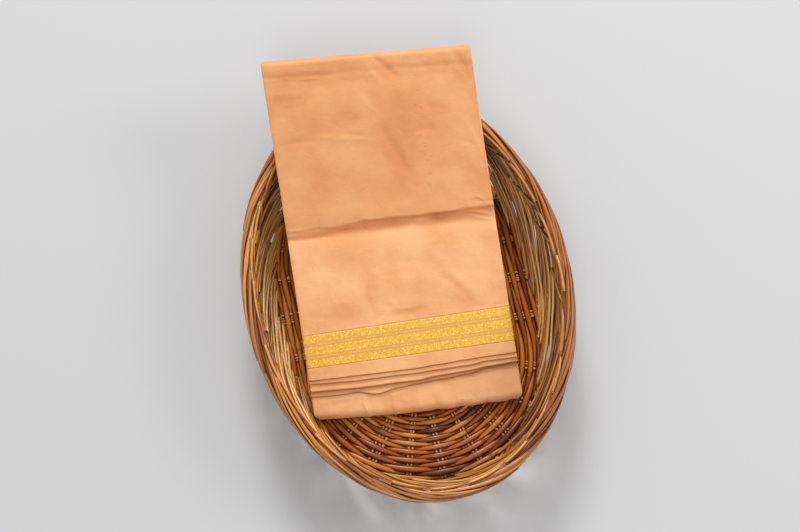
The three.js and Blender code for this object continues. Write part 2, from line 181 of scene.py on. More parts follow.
def to_frame(points):
    return np.asarray(points) * MM + BASKET_CENTRE


def smoothstep(x, low, high):
    share = np.clip((x - low) / (high - low), 0, 1)
    return share * share * (3 - 2 * share)


def unit(vectors):
    return vectors / np.linalg.norm(vectors, axis=-1, keepdims=True)


def bump_at(distance, reach):
    return np.exp(-((distance / reach) ** 2))


# ---- the pack's surface ----

FOLD_DIRECTION = np.array([math.cos(FOLD_LEAN), -math.sin(FOLD_LEAN)])
SIDE_DIRECTION = np.array([math.sin(PACK_LEAN), math.cos(PACK_LEAN)])


def underside(across, run):
    bend = CREASE_BLEND * np.log1p(np.exp((run - CREASE_RUN) / CREASE_BLEND))
    lift = LEFT_LIFT_FOOT + (LEFT_LIFT_HEAD - LEFT_LIFT_FOOT) * run / PACK_RUN
    z = LIFT + LOWER_SLOPE * run + (UPPER_SLOPE - LOWER_SLOPE) * bend + lift * (1 - across)
    x, y = (
        corner + fold * PACK_WIDTH * across + side * run
        for corner, fold, side in zip(PACK_CORNER, FOLD_DIRECTION, SIDE_DIRECTION)
    )
    return np.stack([x, y, z], -1)


def underside_normal(across, run):
    step = 1e-3
    by_fold = underside(across + step, run) - underside(across - step, run)
    by_side = underside(across, run + step) - underside(across, run - step)
    return unit(np.cross(by_fold, by_side))


def broad_relief(across, run):
    height = np.zeros(np.broadcast(across, run).shape)
    for depth, at_across, at_run, reach_across, reach_run in RELIEF:
        u = (across - at_across) / reach_across
        v = (run - at_run) / reach_run
        height = height + depth * np.exp(-u * u - v * v)
    return height


def crease_height(creases, across, run, widen=1.0):
    x = across * PACK_WIDTH
    height = np.zeros(np.broadcast(x, run).shape)
    for x0, r0, x1, r1, depth, width in creases:
        dx, dr = x1 - x0, r1 - r0
        length = math.hypot(dx, dr)
        along = ((x - x0) * dx + (run - r0) * dr) / length
        aside = ((x - x0) * dr - (run - r0) * dx) / length
        # a little wander keeps a crease from being a ruled line
        aside = aside + 0.5 * np.sin(along * 0.13 + x0) + 0.25 * np.sin(along * 0.41 + r0)
        fade = 0.16 * length + 2.0
        ends = smoothstep(along, -fade, fade) * smoothstep(length - along, -fade, fade)
        height = height + depth * ends * bump_at(aside, widen * width)
    return height


def step_height(across, run):
    x = across * PACK_WIDTH
    height = np.zeros(np.broadcast(x, run).shape)
    for x0, r0, x1, r1, rise, fade in STEPS:
        line = r0 + (r1 - r0) * (x - x0) / (x1 - x0) + 0.4 * np.sin(x * 0.16 + r0)
        ends = smoothstep(x, x0 - 6, x0 + 6) * smoothstep(x1 + 6 - x, 0, 12)
        level_out = np.exp(-np.clip(run - line, 0, None) / fade)
        height = height + rise * ends * smoothstep(run - line, -1.1, 0.9) * level_out
    return height


def front_painted_sheen(across, run):
    """Painted sheen and shade: how much lighter or darker the silk is painted, as its sheen would
    turn with the creases, in patches, and lighter on the bared strip at the right side.
    """
    tone = 0.5 * crease_height(CREASES, across, run, widen=1.7)
    x = across * PACK_WIDTH
    for at_x, at_run, half_width, half_length, strength in SHEEN_PATCHES:
        u, v = (x - at_x) / half_width, (run - at_run) / half_length
        lean = 0.25 * np.sin(0.11 * x + 0.07 * run + at_x)
        tone = tone + strength * smoothstep(1.15 + lean - np.hypot(u, v), 0, 0.5)
    # a painted highlight on the bared strip along the right side
    return tone + 1.2 * bared_edge(across, run)


NOISE_WAVES = 7


def soft_noise(x, y, seed, scale):
    """Smooth wandering values about 0, from a few crossed waves."""
    values = np.zeros(np.broadcast(x, y).shape)
    waves = np.random.default_rng(seed)
    for _ in range(NOISE_WAVES):
        angle = waves.uniform(0, math.pi)
        length = scale * waves.uniform(0.6, 1.8)
        phase = waves.uniform(0, 2 * math.pi)
        values = values + np.sin(
            2 * math.pi * (x * math.cos(angle) + y * math.sin(angle)) / length + phase
        )
    return values / NOISE_WAVES


def corner_inset(run):
    to_end = np.minimum(run, PACK_RUN - run)
    depth = np.clip(CORNER_RADIUS - to_end, 0, CORNER_RADIUS)
    return CORNER_RADIUS - np.sqrt(CORNER_RADIUS**2 - depth**2)


def pack_point(across, run, height):
    across, run, height = np.broadcast_arrays(across, run, height)
    inset = corner_inset(run) / PACK_WIDTH
    place = inset + (1 - 2 * inset) * across
    bow = BOTTOM_BULGE * np.sin(math.pi * np.clip(across, 0, 1))
    bow = bow * np.clip(1 - run / BULGE_REACH, 0, None)
    lifted = height + broad_relief(place, run) * (height / PACK_THICKNESS)
    return underside(place, run - bow) + underside_normal(place, run) * lifted[..., None]


def front_inner(run):
    return FRONT_LOW + (FRONT_HIGH - FRONT_LOW) * smoothstep(run, 93, 120)


def free_edge(name, across):
    values = FREE_EDGES[name]
    run = values[0]
    for i, place in enumerate(FREE_ACROSS[:-1]):
        rise = values[i + 1] - values[i]
        run = run + rise * smoothstep(across, place, FREE_ACROSS[i + 1])
    return run


# ---- mesh making ----


def make_object(name, vertices, faces, material, attributes, uv=None):
    """vertices are in mm from the basket's middle. faces is a list of arrays of vertex numbers,
    one row for each face: those in the first array are smooth and the rest are flat."""
    mesh = bpy.data.meshes.new(name)
    loops = np.concatenate([f.ravel() for f in faces]).astype(np.int32)
    sizes = np.concatenate([np.full(len(f), f.shape[1], np.int32) for f in faces])
    starts = np.cumsum(sizes) - sizes
    mesh.vertices.add(len(vertices))
    mesh.vertices.foreach_set("co", to_frame(vertices).astype(np.float32).ravel())
    mesh.loops.add(len(loops))
    mesh.loops.foreach_set("vertex_index", loops)
    mesh.polygons.add(len(sizes))
    mesh.polygons.foreach_set("loop_start", starts.astype(np.int32))
    mesh.polygons.foreach_set("loop_total", sizes)
    mesh.polygons.foreach_set("use_smooth", np.arange(len(sizes)) < len(faces[0]))
    mesh.update(calc_edges=True)
    if uv is not None:
        add_uv(mesh, "cloth", uv)
    for key, values in attributes.items():
        layer = mesh.attributes.new(key, "FLOAT", "POINT")
        layer.data.foreach_set("value", values.astype(np.float32))
    mesh.validate()
    mesh.materials.append(material)
    work = bmesh.new()
    work.from_mesh(mesh)
    bmesh.ops.recalc_face_normals(work, faces=work.faces)
    work.to_mesh(mesh)
    work.free()
    thing = bpy.data.objects.new(name, mesh)
    bpy.context.scene.collection.objects.link(thing)
    return thing


def add_uv(mesh, name, uv):
    """A UV layer from one pair of values for each vertex."""
    loops = np.empty(len(mesh.loops), np.int32)
    mesh.loops.foreach_get("vertex_index", loops)
    layer = mesh.uv_layers.new(name=name)
    layer.data.foreach_set("uv", uv[loops].astype(np.float32).ravel())


def grid_faces(rows, columns):
    """Quads between the rings of a swept section; row i, column j is vertex i * columns + j."""
    i = np.arange(rows - 1)[:, None]
    j = np.arange(columns)[None, :]
    k = (j + 1) % columns
    quad = [i * columns + j, (i + 1) * columns + j, (i + 1) * columns + k, i * columns + k]
    return np.stack(np.broadcast_arrays(*quad), -1).reshape(-1, 4)


def by_rings(section):
    """One row for each vertex, from an array of places round the section by rings."""
    return np.swapaxes(section, 0, 1).reshape(-1, *section.shape[2:])


# ---- strips of cloth ----

EDGE_TURN = np.radians([[45], [90], [135]])  # places on the half circle of a rounded side
END_TURN = (math.radians(45), math.radians(78))  # and on the quarter circle of a rounded end
SIDE_WAVE = 0.25  # how far the sides wander
SIDE_WAVE_LENGTH = 46.0
FINE_STEP = 0.45  # between the fine columns at the right side


def all_round(values):
    """Values on a strip's outer face, carried on round its right side, back and left side."""
    right, left = (np.repeat(row, len(EDGE_TURN), axis=0) for row in (values[-1:], values[:1]))
    return np.concatenate([values, right, values[::-1], left])


def cloth_strip(
    name, path, columns, material, thickness=CLOTH, span=(0.0, 1.0), rounded=(True, True),
    face=None, under=None, fold=None, painted_sheen=None, fine_columns=0, seed=1,
):
    """A wall of cloth swept along `path`, with rounded sides, and ends where `rounded` says.

    path(across) gives run, height, and the wall's outward direction in (run, height), each as
    an array with one row for each place across and one column for each station. face(across,
    run) is added to the height where the wall faces up, and under(across, run) is how far it
    stands out where it faces down. fold(across, run) says from 0 to 1 how much painted shade the
    cloth takes, deepest in folds, on free edges and below them. press(across, run) says how much
    painted sheen makes the cloth lighter, or painted shade below 0 darker.
    """
    half = thickness / 2
    low, high = span[0] + half / PACK_WIDTH, span[1] - half / PACK_WIDTH
    fine_from = high - fine_columns * FINE_STEP / PACK_WIDTH
    bend = (0, columns - 1 - fine_columns, columns - 1)
    across = np.interp(np.arange(columns), bend, (low, fine_from, high))[:, None]
    run, height, out_run, out_height = path(across)
    if face is not None:
        height = height + face(across, run) * np.clip(out_height, 0, 1) ** 2
    if under is not None:
        height = height - under(across, run) * np.clip(-out_height, 0, 1) ** 2
    step_run, step_height = np.diff(run, axis=1), np.diff(height, axis=1)
    length = np.cumsum(np.hypot(step_run, step_height), axis=1)
    length = np.hstack([np.zeros((columns, 1)), length])
    # 1 if the path runs towards the top fold where it faces up, and -1 if it runs back
    forward = np.sign((step_run * out_height[:, :-1] - step_height * out_run[:, :-1]).sum())

    # the rings of the sweep: station, distance past it, and half the thickness there
    rings = [(station, 0.0, half) for station in range(run.shape[1])]
    ends = [(half * math.sin(turn), half * math.cos(turn)) for turn in END_TURN]
    if rounded[0]:
        rings = [(0, -past, thick) for past, thick in reversed(ends)] + rings
    if rounded[1]:
        rings += [(-1, past, thick) for past, thick in ends]
    pick, past, thick = (np.array(row) for row in zip(*rings))
    wave = soft_noise(length, 0.0, seed, SIDE_WAVE_LENGTH) * SIDE_WAVE / PACK_WIDTH
    a = across + wave[:, pick] * np.abs(2 * across - 1) ** 8
    r = run[:, pick] + past * forward * out_height[:, pick]
    h = height[:, pick] - past * forward * out_run[:, pick]
    out_r, out_h = thick * out_run[:, pick], thick * out_height[:, pick]
    top, bottom = pack_point(a, r + out_r, h + out_h), pack_point(a, r - out_r, h - out_h)
    right, left = (
        pack_point(
            a[side] + sign * np.sin(EDGE_TURN) * thick / PACK_WIDTH,
            r[side] + sign * np.cos(EDGE_TURN) * out_r[side],
            h[side] + sign * np.cos(EDGE_TURN) * out_h[side],
        )
        for side, sign in ((-1, 1), (0, -1))
    )
    section = np.concatenate([top, right, bottom[::-1], left])

    size, turns = len(section), len(EDGE_TURN)
    quads = grid_faces(len(rings), size)
    upper = np.arange(columns - 1)
    lower = 2 * columns + turns - 1 - upper
    middle = np.stack([upper, upper + 1, lower - 1, lower], -1)
    right_edge = columns - 1 + np.arange(turns + 2)[None]
    left_edge = np.append(size - 1 - turns + np.arange(turns + 1), 0)[None]
    faces = [quads if forward > 0 else quads[:, ::-1]]
    for base, step in ((0, -1), ((len(rings) - 1) * size, 1)):
        edges = right_edge[:, ::-step], left_edge[:, ::-step]
        faces += [base + face for face in (middle[:, ::step], *edges)]
    uv = np.stack([all_round(a * PACK_WIDTH), all_round(length[:, pick] + past)], -1)
    # the first attribute carries painted shade, and the second painted sheen and shade
    attributes = {
        "fold": by_rings(all_round(fold(a, r) if fold else 0 * a)),
        "painted_sheen": by_rings(all_round(painted_sheen(a, r) if painted_sheen else 0 * a)),
    }
    thing = make_object(name, by_rings(section), faces, material, attributes, by_rings(uv))
    return thing, float(length[:, -1].mean())


def level_path(start, end, height_of, stations):
    """A flat stretch from start(across) to end(across), facing up."""

    def path(across):
        share = np.linspace(0, 1, stations)
        run = start(across) + (end(across) - start(across)) * share + 0 * across
        return run, height_of(across, run), 0 * run, 1 + 0 * run

    return path


def under_path(start, end, height, stations):
    def path(across):
        run = np.linspace(start, end, stations) + 0 * across
        return run, height + 0 * run, 0 * run, -1 + 0 * run

    return path


def arc_path(centre_run, centre_height, radius, start, end, stations):
    def path(across):
        angle = np.radians(np.linspace(start, end, stations)) + 0 * across
        out_run, out_height = np.cos(angle), np.sin(angle)
        run, height = centre_run + radius * out_run, centre_height + radius * out_height
        return run, height, out_run, out_height

    return path


def join_paths(*parts):
    def path(across):
        pieces = [part(across) for part in parts]
        return tuple(np.concatenate(rows, axis=1) for rows in zip(*pieces))

    return path


# ---- materials ----


def srgb(red, green, blue):
    def channel(value):
        value /= 255
        return value / 12.92 if value <= 0.04045 else ((value + 0.055) / 1.055) ** 2.4

    return (channel(red), channel(green), channel(blue), 1.0)


class Look:
    """A material made node by node; most calls make a node and give one of its outputs."""

    def __init__(self, name):
        self.material = bpy.data.materials.new(name)
        self.material.use_nodes = True
        self.tree = self.material.node_tree

    def new(self, kind):
        return self.tree.nodes.new("ShaderNode" + kind)

    def fill(self, node, inputs):
        """Links an input to the output given for it, or sets it; gives the node's outputs."""
        for key, value in inputs.items():
            if isinstance(value, bpy.types.NodeSocket):
                self.tree.links.new(value, node.inputs[key])
            else:
                node.inputs[key].default_value = value
        return node.outputs

    def add(self, kind, inputs):
        return self.fill(self.new(kind), inputs)

    def maths(self, operation, *values):
        node = self.new("Math")
        node.operation = operation
        return self.fill(node, dict(enumerate(values)))[0]

    def attribute(self, name):
        node = self.new("Attribute")
        node.attribute_name = name
        return node.outputs["Fac"]

    def uv(self, name):
        node = self.new("UVMap")
        node.uv_map = name
        return node.outputs["UV"]

    def along(self, vector, axis):
        return self.add("SeparateXYZ", {0: vector})[axis]

    def noise(self, vector, scale, **inputs):
        inputs.update(Vector=vector, Scale=scale)
        return self.add("TexNoise", inputs)["Fac"]

    def ramp(self, factor, *stops):
        """stops are pairs of place and colour, from first to last."""
        node = self.new("ValToRGB")
        elements = node.color_ramp.elements
        first, last = elements[0], elements[1]
        first.position, first.color = stops[0]
        last.position, last.color = stops[-1]
        for place, colour in stops[1:-1]:
            elements.new(place).color = colour
        return self.fill(node, {0: factor})[0]

    def mix(self, factor, first, second, blend="MIX"):
        node = self.new("Mix")
        node.data_type = "RGBA"
        node.blend_type = blend
        return self.fill(node, {"Factor": factor, "A": first, "B": second})["Result"]

    def smooth_range(self, value, low, high, to_low=0.0, to_high=1.0):
        node = self.new("MapRange")
        node.interpolation_type = "SMOOTHSTEP"
        inputs = {"Value": value, "From Min": low, "From Max": high}
        return self.fill(node, inputs | {"To Min": to_low, "To Max": to_high})["Result"]

    def bump(self, height, strength, distance, **inputs):
        inputs.update(Height=height, Strength=strength, Distance=distance)
        return self.add("Bump", inputs)[0]

    def weave(self, uv, pitch):
        """Height of a plain weave: crossed waves of threads at `pitch` mm."""
        waves = [
            self.maths("SINE", self.maths("MULTIPLY", self.along(uv, axis), 2 * math.pi / pitch))
            for axis in "XY"
        ]
        return self.maths("MULTIPLY", *waves)

    def shade(self, inputs):
        """Fills the material's shader, and gives the material."""
        self.fill(self.tree.nodes["Principled BSDF"], inputs)
        return self.material


SILK_PITCH = 0.45  # mm between threads
ZARI_PITCH = 0.7
# painted shade: the upper half of the front stretch is tinted darker
UPPER_HALF_PAINTED_SHADE = (0.87, 0.79, 0.71, 1.0)
UPPER_HALF_SHADE_FROM = (90.0, 112.0)  # where along the front stretch that painted shade comes in
# how strongly the painted sheen and shade tell in the colour
PAINTED_SHEEN_STRENGTH = 0.145
SHEEN_TINT = (1.0, 0.82, 0.66, 1.0)


def silk_material(name, light, mid, deep):
    look = Look(name)
    uv = look.uv("cloth")
    # slubs: fine uneven threads that run along the cloth
    stretched = look.add("Mapping", {"Vector": uv, "Scale": (0.03, 1.6, 1.0)})[0]
    tone = look.maths("MULTIPLY_ADD", look.noise(stretched, 1.0, Detail=2.0), 0.22, -0.05)
    # small patches and broad blotches of random tone, and the painted sheen and shade of the
    # creases and patches
    for part, share in (
        (look.noise(uv, 0.052, Detail=2.0, Distortion=0.8), 0.15),
        (look.attribute("painted_sheen"), PAINTED_SHEEN_STRENGTH),
        (look.noise(uv, 0.018, Detail=3.0), 0.78),
    ):
        tone = look.maths("MULTIPLY_ADD", part, share, tone)
    colour = look.ramp(tone, (0.34, deep), (0.5, mid), (0.66, light))
    # painted shade: past the cross crease the upper half's colour is made darker
    upper_shade_share = look.smooth_range(look.along(uv, "Y"), *UPPER_HALF_SHADE_FROM)
    colour = look.mix(upper_shade_share, colour, UPPER_HALF_PAINTED_SHADE, "MULTIPLY")
    # painted shade: deep in folds, on free edges and below them, the colour is made darker and
    # fuller
    fold = look.attribute("fold")
    depth = look.ramp(fold, (0.5, srgb(200, 96, 0)), (0.82, srgb(124, 62, 2)))
    wrinkle = look.bump(look.noise(uv, 0.055, Detail=4.0, Distortion=0.6), 0.28, 0.0045)
    return look.shade({
        "Base Color": look.mix(fold, colour, depth),
        "Normal": look.bump(look.weave(uv, SILK_PITCH), 0.12, 0.00012, Normal=wrinkle),
        "Roughness": 0.5,
        "Specular IOR Level": 0.4,
        "Sheen Weight": 0.25,
        "Sheen Roughness": 0.45,
        "Sheen Tint": SHEEN_TINT,
    })


# how much gold thread shows from the border's foot (0) to its head (1)
GOLD_SHARE = (
    (0.0, 0.55), (0.02, 1), (0.255, 1), (0.265, 0), (0.29, 0), (0.3, 0.6), (0.345, 0.6),
    (0.355, 0), (0.38, 0), (0.39, 1), (0.635, 1), (0.645, 0), (0.67, 0), (0.68, 0.6),
    (0.725, 0.6), (0.735, 0), (0.76, 0), (0.77, 1), (0.98, 1), (1.0, 0.7),
)


def zari_material():
    """Three bands of gold thread, parted by pairs of thin silk lines, with glinting threads painted
    as lighter specks.
    """
    look = Look("zari")
    uv = look.uv("cloth")
    stops = [(place, (share, share, share, 1)) for place, share in GOLD_SHARE]
    golden = look.ramp(look.along(look.uv("band"), "Y"), *stops)
    glint = look.add("TexVoronoi", {"Vector": uv, "Scale": 1.05})["Color"]
    speck = look.add("SeparateColor", {0: glint})
    # the specks are thread tone at random, and the lightest ones painted glints
    gold = look.ramp(
        speck[0],
        (0.0, srgb(226, 154, 62)),
        (0.2, srgb(241, 174, 58)),
        (0.7, srgb(246, 189, 66)),
        (1.0, srgb(252, 224, 118)),
    )
    relief = look.maths("ADD", look.weave(uv, ZARI_PITCH), speck[1])
    return look.shade({
        "Base Color": look.mix(golden, srgb(230, 162, 84), gold),
        "Metallic": look.maths("MULTIPLY", golden, 0.2),
        "Normal": look.bump(relief, 0.5, 0.00016),
        "Roughness": 0.42,
    })


def wicker_material(name, tones, gloss=0.22):
    """Peeled willow: a tone for each rod, streaks along it, a waxy gloss and painted shade along
    its sides.
    """
    look = Look(name)
    tone = look.attribute("tone")
    along = look.maths("MULTIPLY", look.attribute("along"), 0.035)
    apart = look.maths("MULTIPLY", tone, 37.0)
    inputs = {0: along, 1: look.attribute("around"), 2: apart}
    place = look.add("CombineXYZ", inputs)[0]
    streak = look.noise(place, 2.2, Detail=4.0, Roughness=0.6)
    shade = look.maths("MULTIPLY_ADD", look.maths("SUBTRACT", streak, 0.5), 0.2, tone)
    stops = [(i / (len(tones) - 1), srgb(*colour)) for i, colour in enumerate(tones)]
    # painted shade: a rod is darker along its sides than on its free face, as if shaded in the
    # crevices
    rod_side_painted_shade = look.smooth_range(look.attribute("crest"), 0.12, 0.88, 0.95, 0.0)
    return look.shade({
        "Base Color": look.mix(rod_side_painted_shade, look.ramp(shade, *stops), srgb(44, 18, 4)),
        "Normal": look.bump(streak, 0.3, 0.0003),
        "Roughness": 0.36,
        "Specular IOR Level": 0.28 + gloss,
        "Coat Weight": gloss,
        "Coat Roughness": 0.14,
    })


def cut_end_material():
    look = Look("wicker_cut_end")
    grain = look.noise(look.add("TexCoord", {})["Object"], 900.0)
    colour = look.ramp(grain, (0.0, srgb(214, 170, 116)), (1.0, srgb(240, 214, 172)))
    return look.shade({"Base Color": colour, "Roughness": 0.7})


def thread_material(name, dark, light, roughness, metallic=0.0):
    look = Look(name)
    colour = look.ramp(look.attribute("tone"), (0.0, dark), (1.0, light))
    return look.shade({"Base Color": colour, "Roughness": roughness, "Metallic": metallic})


SILK = silk_material("silk", srgb(245, 182, 127), srgb(238, 170, 113), srgb(229, 156, 99))
# a darker copy of the silk, as painted shade, for the inner layers seen along the sides
SILK_SHADED = silk_material(
    "silk_shaded", srgb(240, 168, 112), srgb(230, 154, 98), srgb(216, 138, 82)
)
SLUB = thread_material("silk_slub", srgb(190, 120, 66), srgb(252, 206, 156), 0.5)
ZARI = zari_material()
ZARI_THREAD = thread_material("zari_thread", srgb(150, 92, 34), srgb(252, 206, 96), 0.45, 0.2)
WICKER_WALL = wicker_material(
    "wicker_wall", ((60, 26, 5), (122, 66, 20), (176, 106, 42), (218, 144, 66), (244, 186, 106))
)
WICKER_BASE = wicker_material(
    "wicker_base",
    ((64, 22, 2), (132, 60, 6), (186, 96, 18), (212, 128, 44), (214, 164, 104)),
    gloss=0.1,
)
WICKER_RIM = wicker_material(
    "wicker_rim", ((60, 24, 5), (124, 64, 18), (170, 98, 36), (200, 126, 54), (222, 154, 80))
)
CUT_END = cut_end_material()


# ---- the sari's stretches ----


def border_line(ends):
    return lambda across: ends[0] + (ends[1] - ends[0]) * across


def front_height(across, run):
    return front_inner(run) + CLOTH / 2


def bared_edge(across, run):
    """1 on the strip along the right side where the layer below the first one shows."""
    width = 2.3 + 0.5 * np.sin(run * 0.052) + 0.3 * np.sin(run * 0.19)
    inward = (1 - across) * PACK_WIDTH - width
    upper = smoothstep(run, 214, 236) * smoothstep(346 - run, 0, 16)
    return smoothstep(-inward, -0.8, 0.8) * upper


def front_face(across, run):
    """Creases of the front stretch, and its edges easing down at both sides."""
    height = crease_height(CREASES, across, run)
    side = np.minimum(across, 1 - across) * PACK_WIDTH
    ease = -0.7 * bump_at(side, 2.2)
    ripple = 0.35 * soft_noise(across * PACK_WIDTH, run, 11, 62.0)
    edge = smoothstep(run, 39, 54)
    height = height - 0.7 * bared_edge(across, run)
    return (height + step_height(across, run) + ripple) * edge + ease


# the cross crease's painted shadow: across, its upper edge, its lower edge and its depth of colour
CREASE_SHADOW_BAND = (
    (0, 187, 183, 0.2), (45, 192, 184, 0.26), (84, 197, 185, 0.28), (122, 197, 186, 0.3),
    (141, 197, 191, 0.24), (160, 197.5, 187, 0.36), (200, 198.5, 190, 0.28),
    (222, 200, 193, 0.26),
)


def crease_painted_shade(across, run):
    """Painted shadow in a band along the crease of the earlier half fold, and a painted dark line
    at the inner edge of the bared strip on the right side.
    """
    place, high, low, depth = (np.array(row) for row in zip(*CREASE_SHADOW_BAND))
    x = across * PACK_WIDTH
    high, low = np.interp(x, place, high), np.interp(x, place, low)
    above = smoothstep(high + 1.2 - run, 0.0, 1.8)
    below = smoothstep(run - low + 3.0, 0.0, 8.0)
    bared = bared_edge(across, run)
    line = 1.8 * bared * (1 - bared)
    return np.maximum(1.8 * np.interp(x, place, depth) * above * below, line)


FRONT_COLUMNS = 150
FINE_COLUMNS = 12
FRONT_STATIONS = 215
FRONT_SEED = 3  # the border and the strip below it share the front's waved sides


def make_front():
    ends = border_line(BORDER_HEAD), lambda a: TOP_CENTRE[0]
    level = level_path(*ends, front_height, FRONT_STATIONS)
    arc = arc_path(*TOP_CENTRE, TOP_RADIUS - CLOTH / 2, 84, -84, 18)
    tail = under_path(TOP_CENTRE[0], PACK_RUN - BACK_END - GAP, TURN_BACK + CLOTH / 2, 10)
    return cloth_strip(
        "sari_front_panel_silk", join_paths(level, arc, tail), FRONT_COLUMNS, SILK,
        face=front_face, fold=crease_painted_shade, painted_sheen=front_painted_sheen, fine_columns=FINE_COLUMNS,
        rounded=(False, True), seed=FRONT_SEED,
    )


STRIP_COLUMNS = 180  # of the narrow strips at the lower end
BORDER_STATIONS = 30
GOLD_THICKNESS = 0.12  # how much thicker the gold border is than the plain silk


def make_border():
    ends = border_line(BORDER_FOOT), border_line(BORDER_HEAD)
    result = cloth_strip(
        "zari_border_band", level_path(*ends, front_height, BORDER_STATIONS), STRIP_COLUMNS, ZARI,
        thickness=CLOTH + GOLD_THICKNESS, face=front_face, rounded=(False, False), seed=FRONT_SEED,
    )
    # a second UV layer says how far up the border a place is, from its foot (0) to its head (1)
    size = 2 * (STRIP_COLUMNS + len(EDGE_TURN))
    share = np.repeat(np.linspace(0, 1, BORDER_STATIONS), size)
    add_uv(result[0].data, "band", np.stack([0 * share, share], -1))
    return result


def painted_edge_line(run, edge):
    """A thin line of painted shade along a free edge itself."""
    return 0.75 * smoothstep(edge + 0.75 - run, 0.0, 0.5)


def painted_shadow_under_edge(run, edge, reach, depth):
    """How much painted shadow the cloth takes where a free edge above it covers it; it fades over
    `reach` mm.
    """
    return depth * smoothstep(run - edge + reach, 0.0, reach)


def make_selvedge():
    ends = lambda a: free_edge("first", a), border_line(BORDER_FOOT)
    # the first free edge takes a thin line of painted shade
    return cloth_strip(
        "selvedge_strip_silk", level_path(*ends, front_height, 14), STRIP_COLUMNS, SILK,
        face=front_face, fold=lambda a, r: painted_edge_line(r, free_edge("first", a)),
        rounded=(True, False), seed=FRONT_SEED,
    )


# the free edge above each layer, how far below it the painted shadow fades, and its depth
ABOVE = {
    "second": ("first", 1.3, 0.75),
    "third": ("second", 1.3, 0.75),
    "fourth": ("third", 3.2, 0.9),
}


def dip_under_third(across, run):
    """The lower layers sag just below the third free edge, for a real shadow there that a painted
    shadow deepens.
    """
    return -1.2 * bump_at(run - free_edge("third", across) + 1.2, 3.2)


def make_free_layer(name, column, number, seed):
    base = LOWER_TOP + GAP + (4 - number) * (LEAF + GAP) + LEAF / 2
    above, fade, depth = ABOVE[column]

    def height(across, run):
        start = free_edge(column, across)
        clear = smoothstep(free_edge(above, across) - start, 1.0, 4.0)
        wave = 0.25 * soft_noise(across * PACK_WIDTH, run * 0.3, seed, 70.0)
        curl = (0.35 + 0.3 * (number == 3) + wave) * clear * bump_at(run - start, 3.0)
        sag = dip_under_third(across, run) if number == 4 else 0.0
        return base + curl + sag

    # painted shade: a dark line on the layer's own free edge, and a painted shadow below the edge
    # above it
    def fold(across, run):
        own = painted_edge_line(run, free_edge(column, across))
        return np.maximum(own, painted_shadow_under_edge(run, free_edge(above, across), fade, depth))

    path = level_path(lambda a: free_edge(column, a), lambda a: LEAF_ROOT, height, 40)
    return cloth_strip(name, path, STRIP_COLUMNS, SILK, thickness=LEAF, fold=fold, seed=seed)


# how far the bottom fold swells past the CAD's, and its scallops: x, swell, half width
BOTTOM_SWELL = 1.9
SCALLOPS = (
    (56, 0.5, 3), (86, 0.4, 3), (131, -0.7, 4), (143, 0.5, 5), (157, -0.7, 4),
    (170, 0.4, 4), (187, -0.8, 6), (204, 0.3, 5), (215, -0.5, 4),
)


def bottom_swell(across):
    x = across * PACK_WIDTH
    swell = BOTTOM_SWELL + 0 * x
    for place, size, width in SCALLOPS:
        swell = swell + size * bump_at(x - place, width)
    return swell


def lower_height(across, run):
    return LOWER_TOP - CLOTH / 2 + 0 * run


def lower_face(across, run):
    ripple = 0.3 * soft_noise(across * PACK_WIDTH, run, 23, 48.0)
    return crease_height(LOWER_CREASES, across, run) + ripple + dip_under_third(across, run)


def lower_painted_shadow(across, run):
    """The painted shadow below the fourth free edge, which is wider and softer to the right."""
    right = smoothstep(across * PACK_WIDTH, 118, 168)
    low = painted_shadow_under_edge(run, free_edge("fourth", across), 1.4 + 4.2 * right, 0.82 - 0.25 * right)
    return low * (run > BOTTOM_RADIUS)


def make_lower():
    plain = join_paths(
        under_path(SEAM_RUN, BOTTOM_RADIUS, CLOTH / 2, 8),
        arc_path(BOTTOM_RADIUS, BOTTOM_RADIUS, BOTTOM_RADIUS - CLOTH / 2, 264, 96, 24),
        level_path(lambda a: BOTTOM_RADIUS, lambda a: LOWER_END, lower_height, 64),
    )

    def swollen(across):
        run, height, out_run, out_height = plain(across)
        run = run - bottom_swell(across) * smoothstep(16 - run, 0, 16)
        return run, height, out_run, out_height

    name = "sari_lower_panel_silk"
    return cloth_strip(name, swollen, 200, SILK, face=lower_face, fold=lower_painted_shadow, seed=29)


def back_face(across, run):
    """How far the underside's ridges stand out; they die away at its two ends."""
    ripple = 0.2 + 0.2 * soft_noise(across * PACK_WIDTH, run, 37, 58.0)
    ends = smoothstep(run, 24, 44) * smoothstep(336 - run, 0, 12)
    return (crease_height(UNDER_CREASES, across, run) + ripple) * ends


def make_back():
    side = SIDE_ROUND / PACK_WIDTH
    path = under_path(SEAM_RUN + GAP, PACK_RUN - BACK_END, CLOTH / 2, 130)
    # the underside is painted darker along its ridges, as painted shade
    return cloth_strip(
        "sari_back_panel_silk", path, 70, SILK, span=(side, 1 - side), under=back_face,
        painted_sheen=lambda a, r: -0.4 * crease_height(UNDER_CREASES, a, r, widen=1.6), seed=31,
    )


# ---- the folded layers inside, seen along the sides ----

CORE_LEAVES = 11
LEAF_POINTS = 6
CORE_COLUMNS = 30
CORE_CLEARANCE = CLOTH + GAP + 0.2


def core_span(run):
    """The lowest and highest level of the inner layers, clear of the cloth round them."""
    for inside, centre_run, centre_height, radius in (
        (run < BOTTOM_RADIUS, BOTTOM_RADIUS, BOTTOM_RADIUS, BOTTOM_RADIUS),
        (run > TOP_CENTRE[0], *TOP_CENTRE, TOP_RADIUS),
    ):
        if inside:
            reach = (radius - CORE_CLEARANCE) ** 2 - (run - centre_run) ** 2
            half = math.sqrt(max(reach, 0.01))
            return centre_height - half, centre_height + half
    under_top = run > PACK_RUN - BACK_END - GAP - 1.5
    low = (TURN_BACK if under_top else 0.0) + CLOTH + GAP * 0.4
    if run <= LOWER_END + GAP:
        return low, LOWER_TOP - CLOTH - GAP
    full = front_inner(run) - GAP * 0.6
    return low, LOWER_TOP + (full - LOWER_TOP) * np.clip((run - 99) / 13, 0, 1)


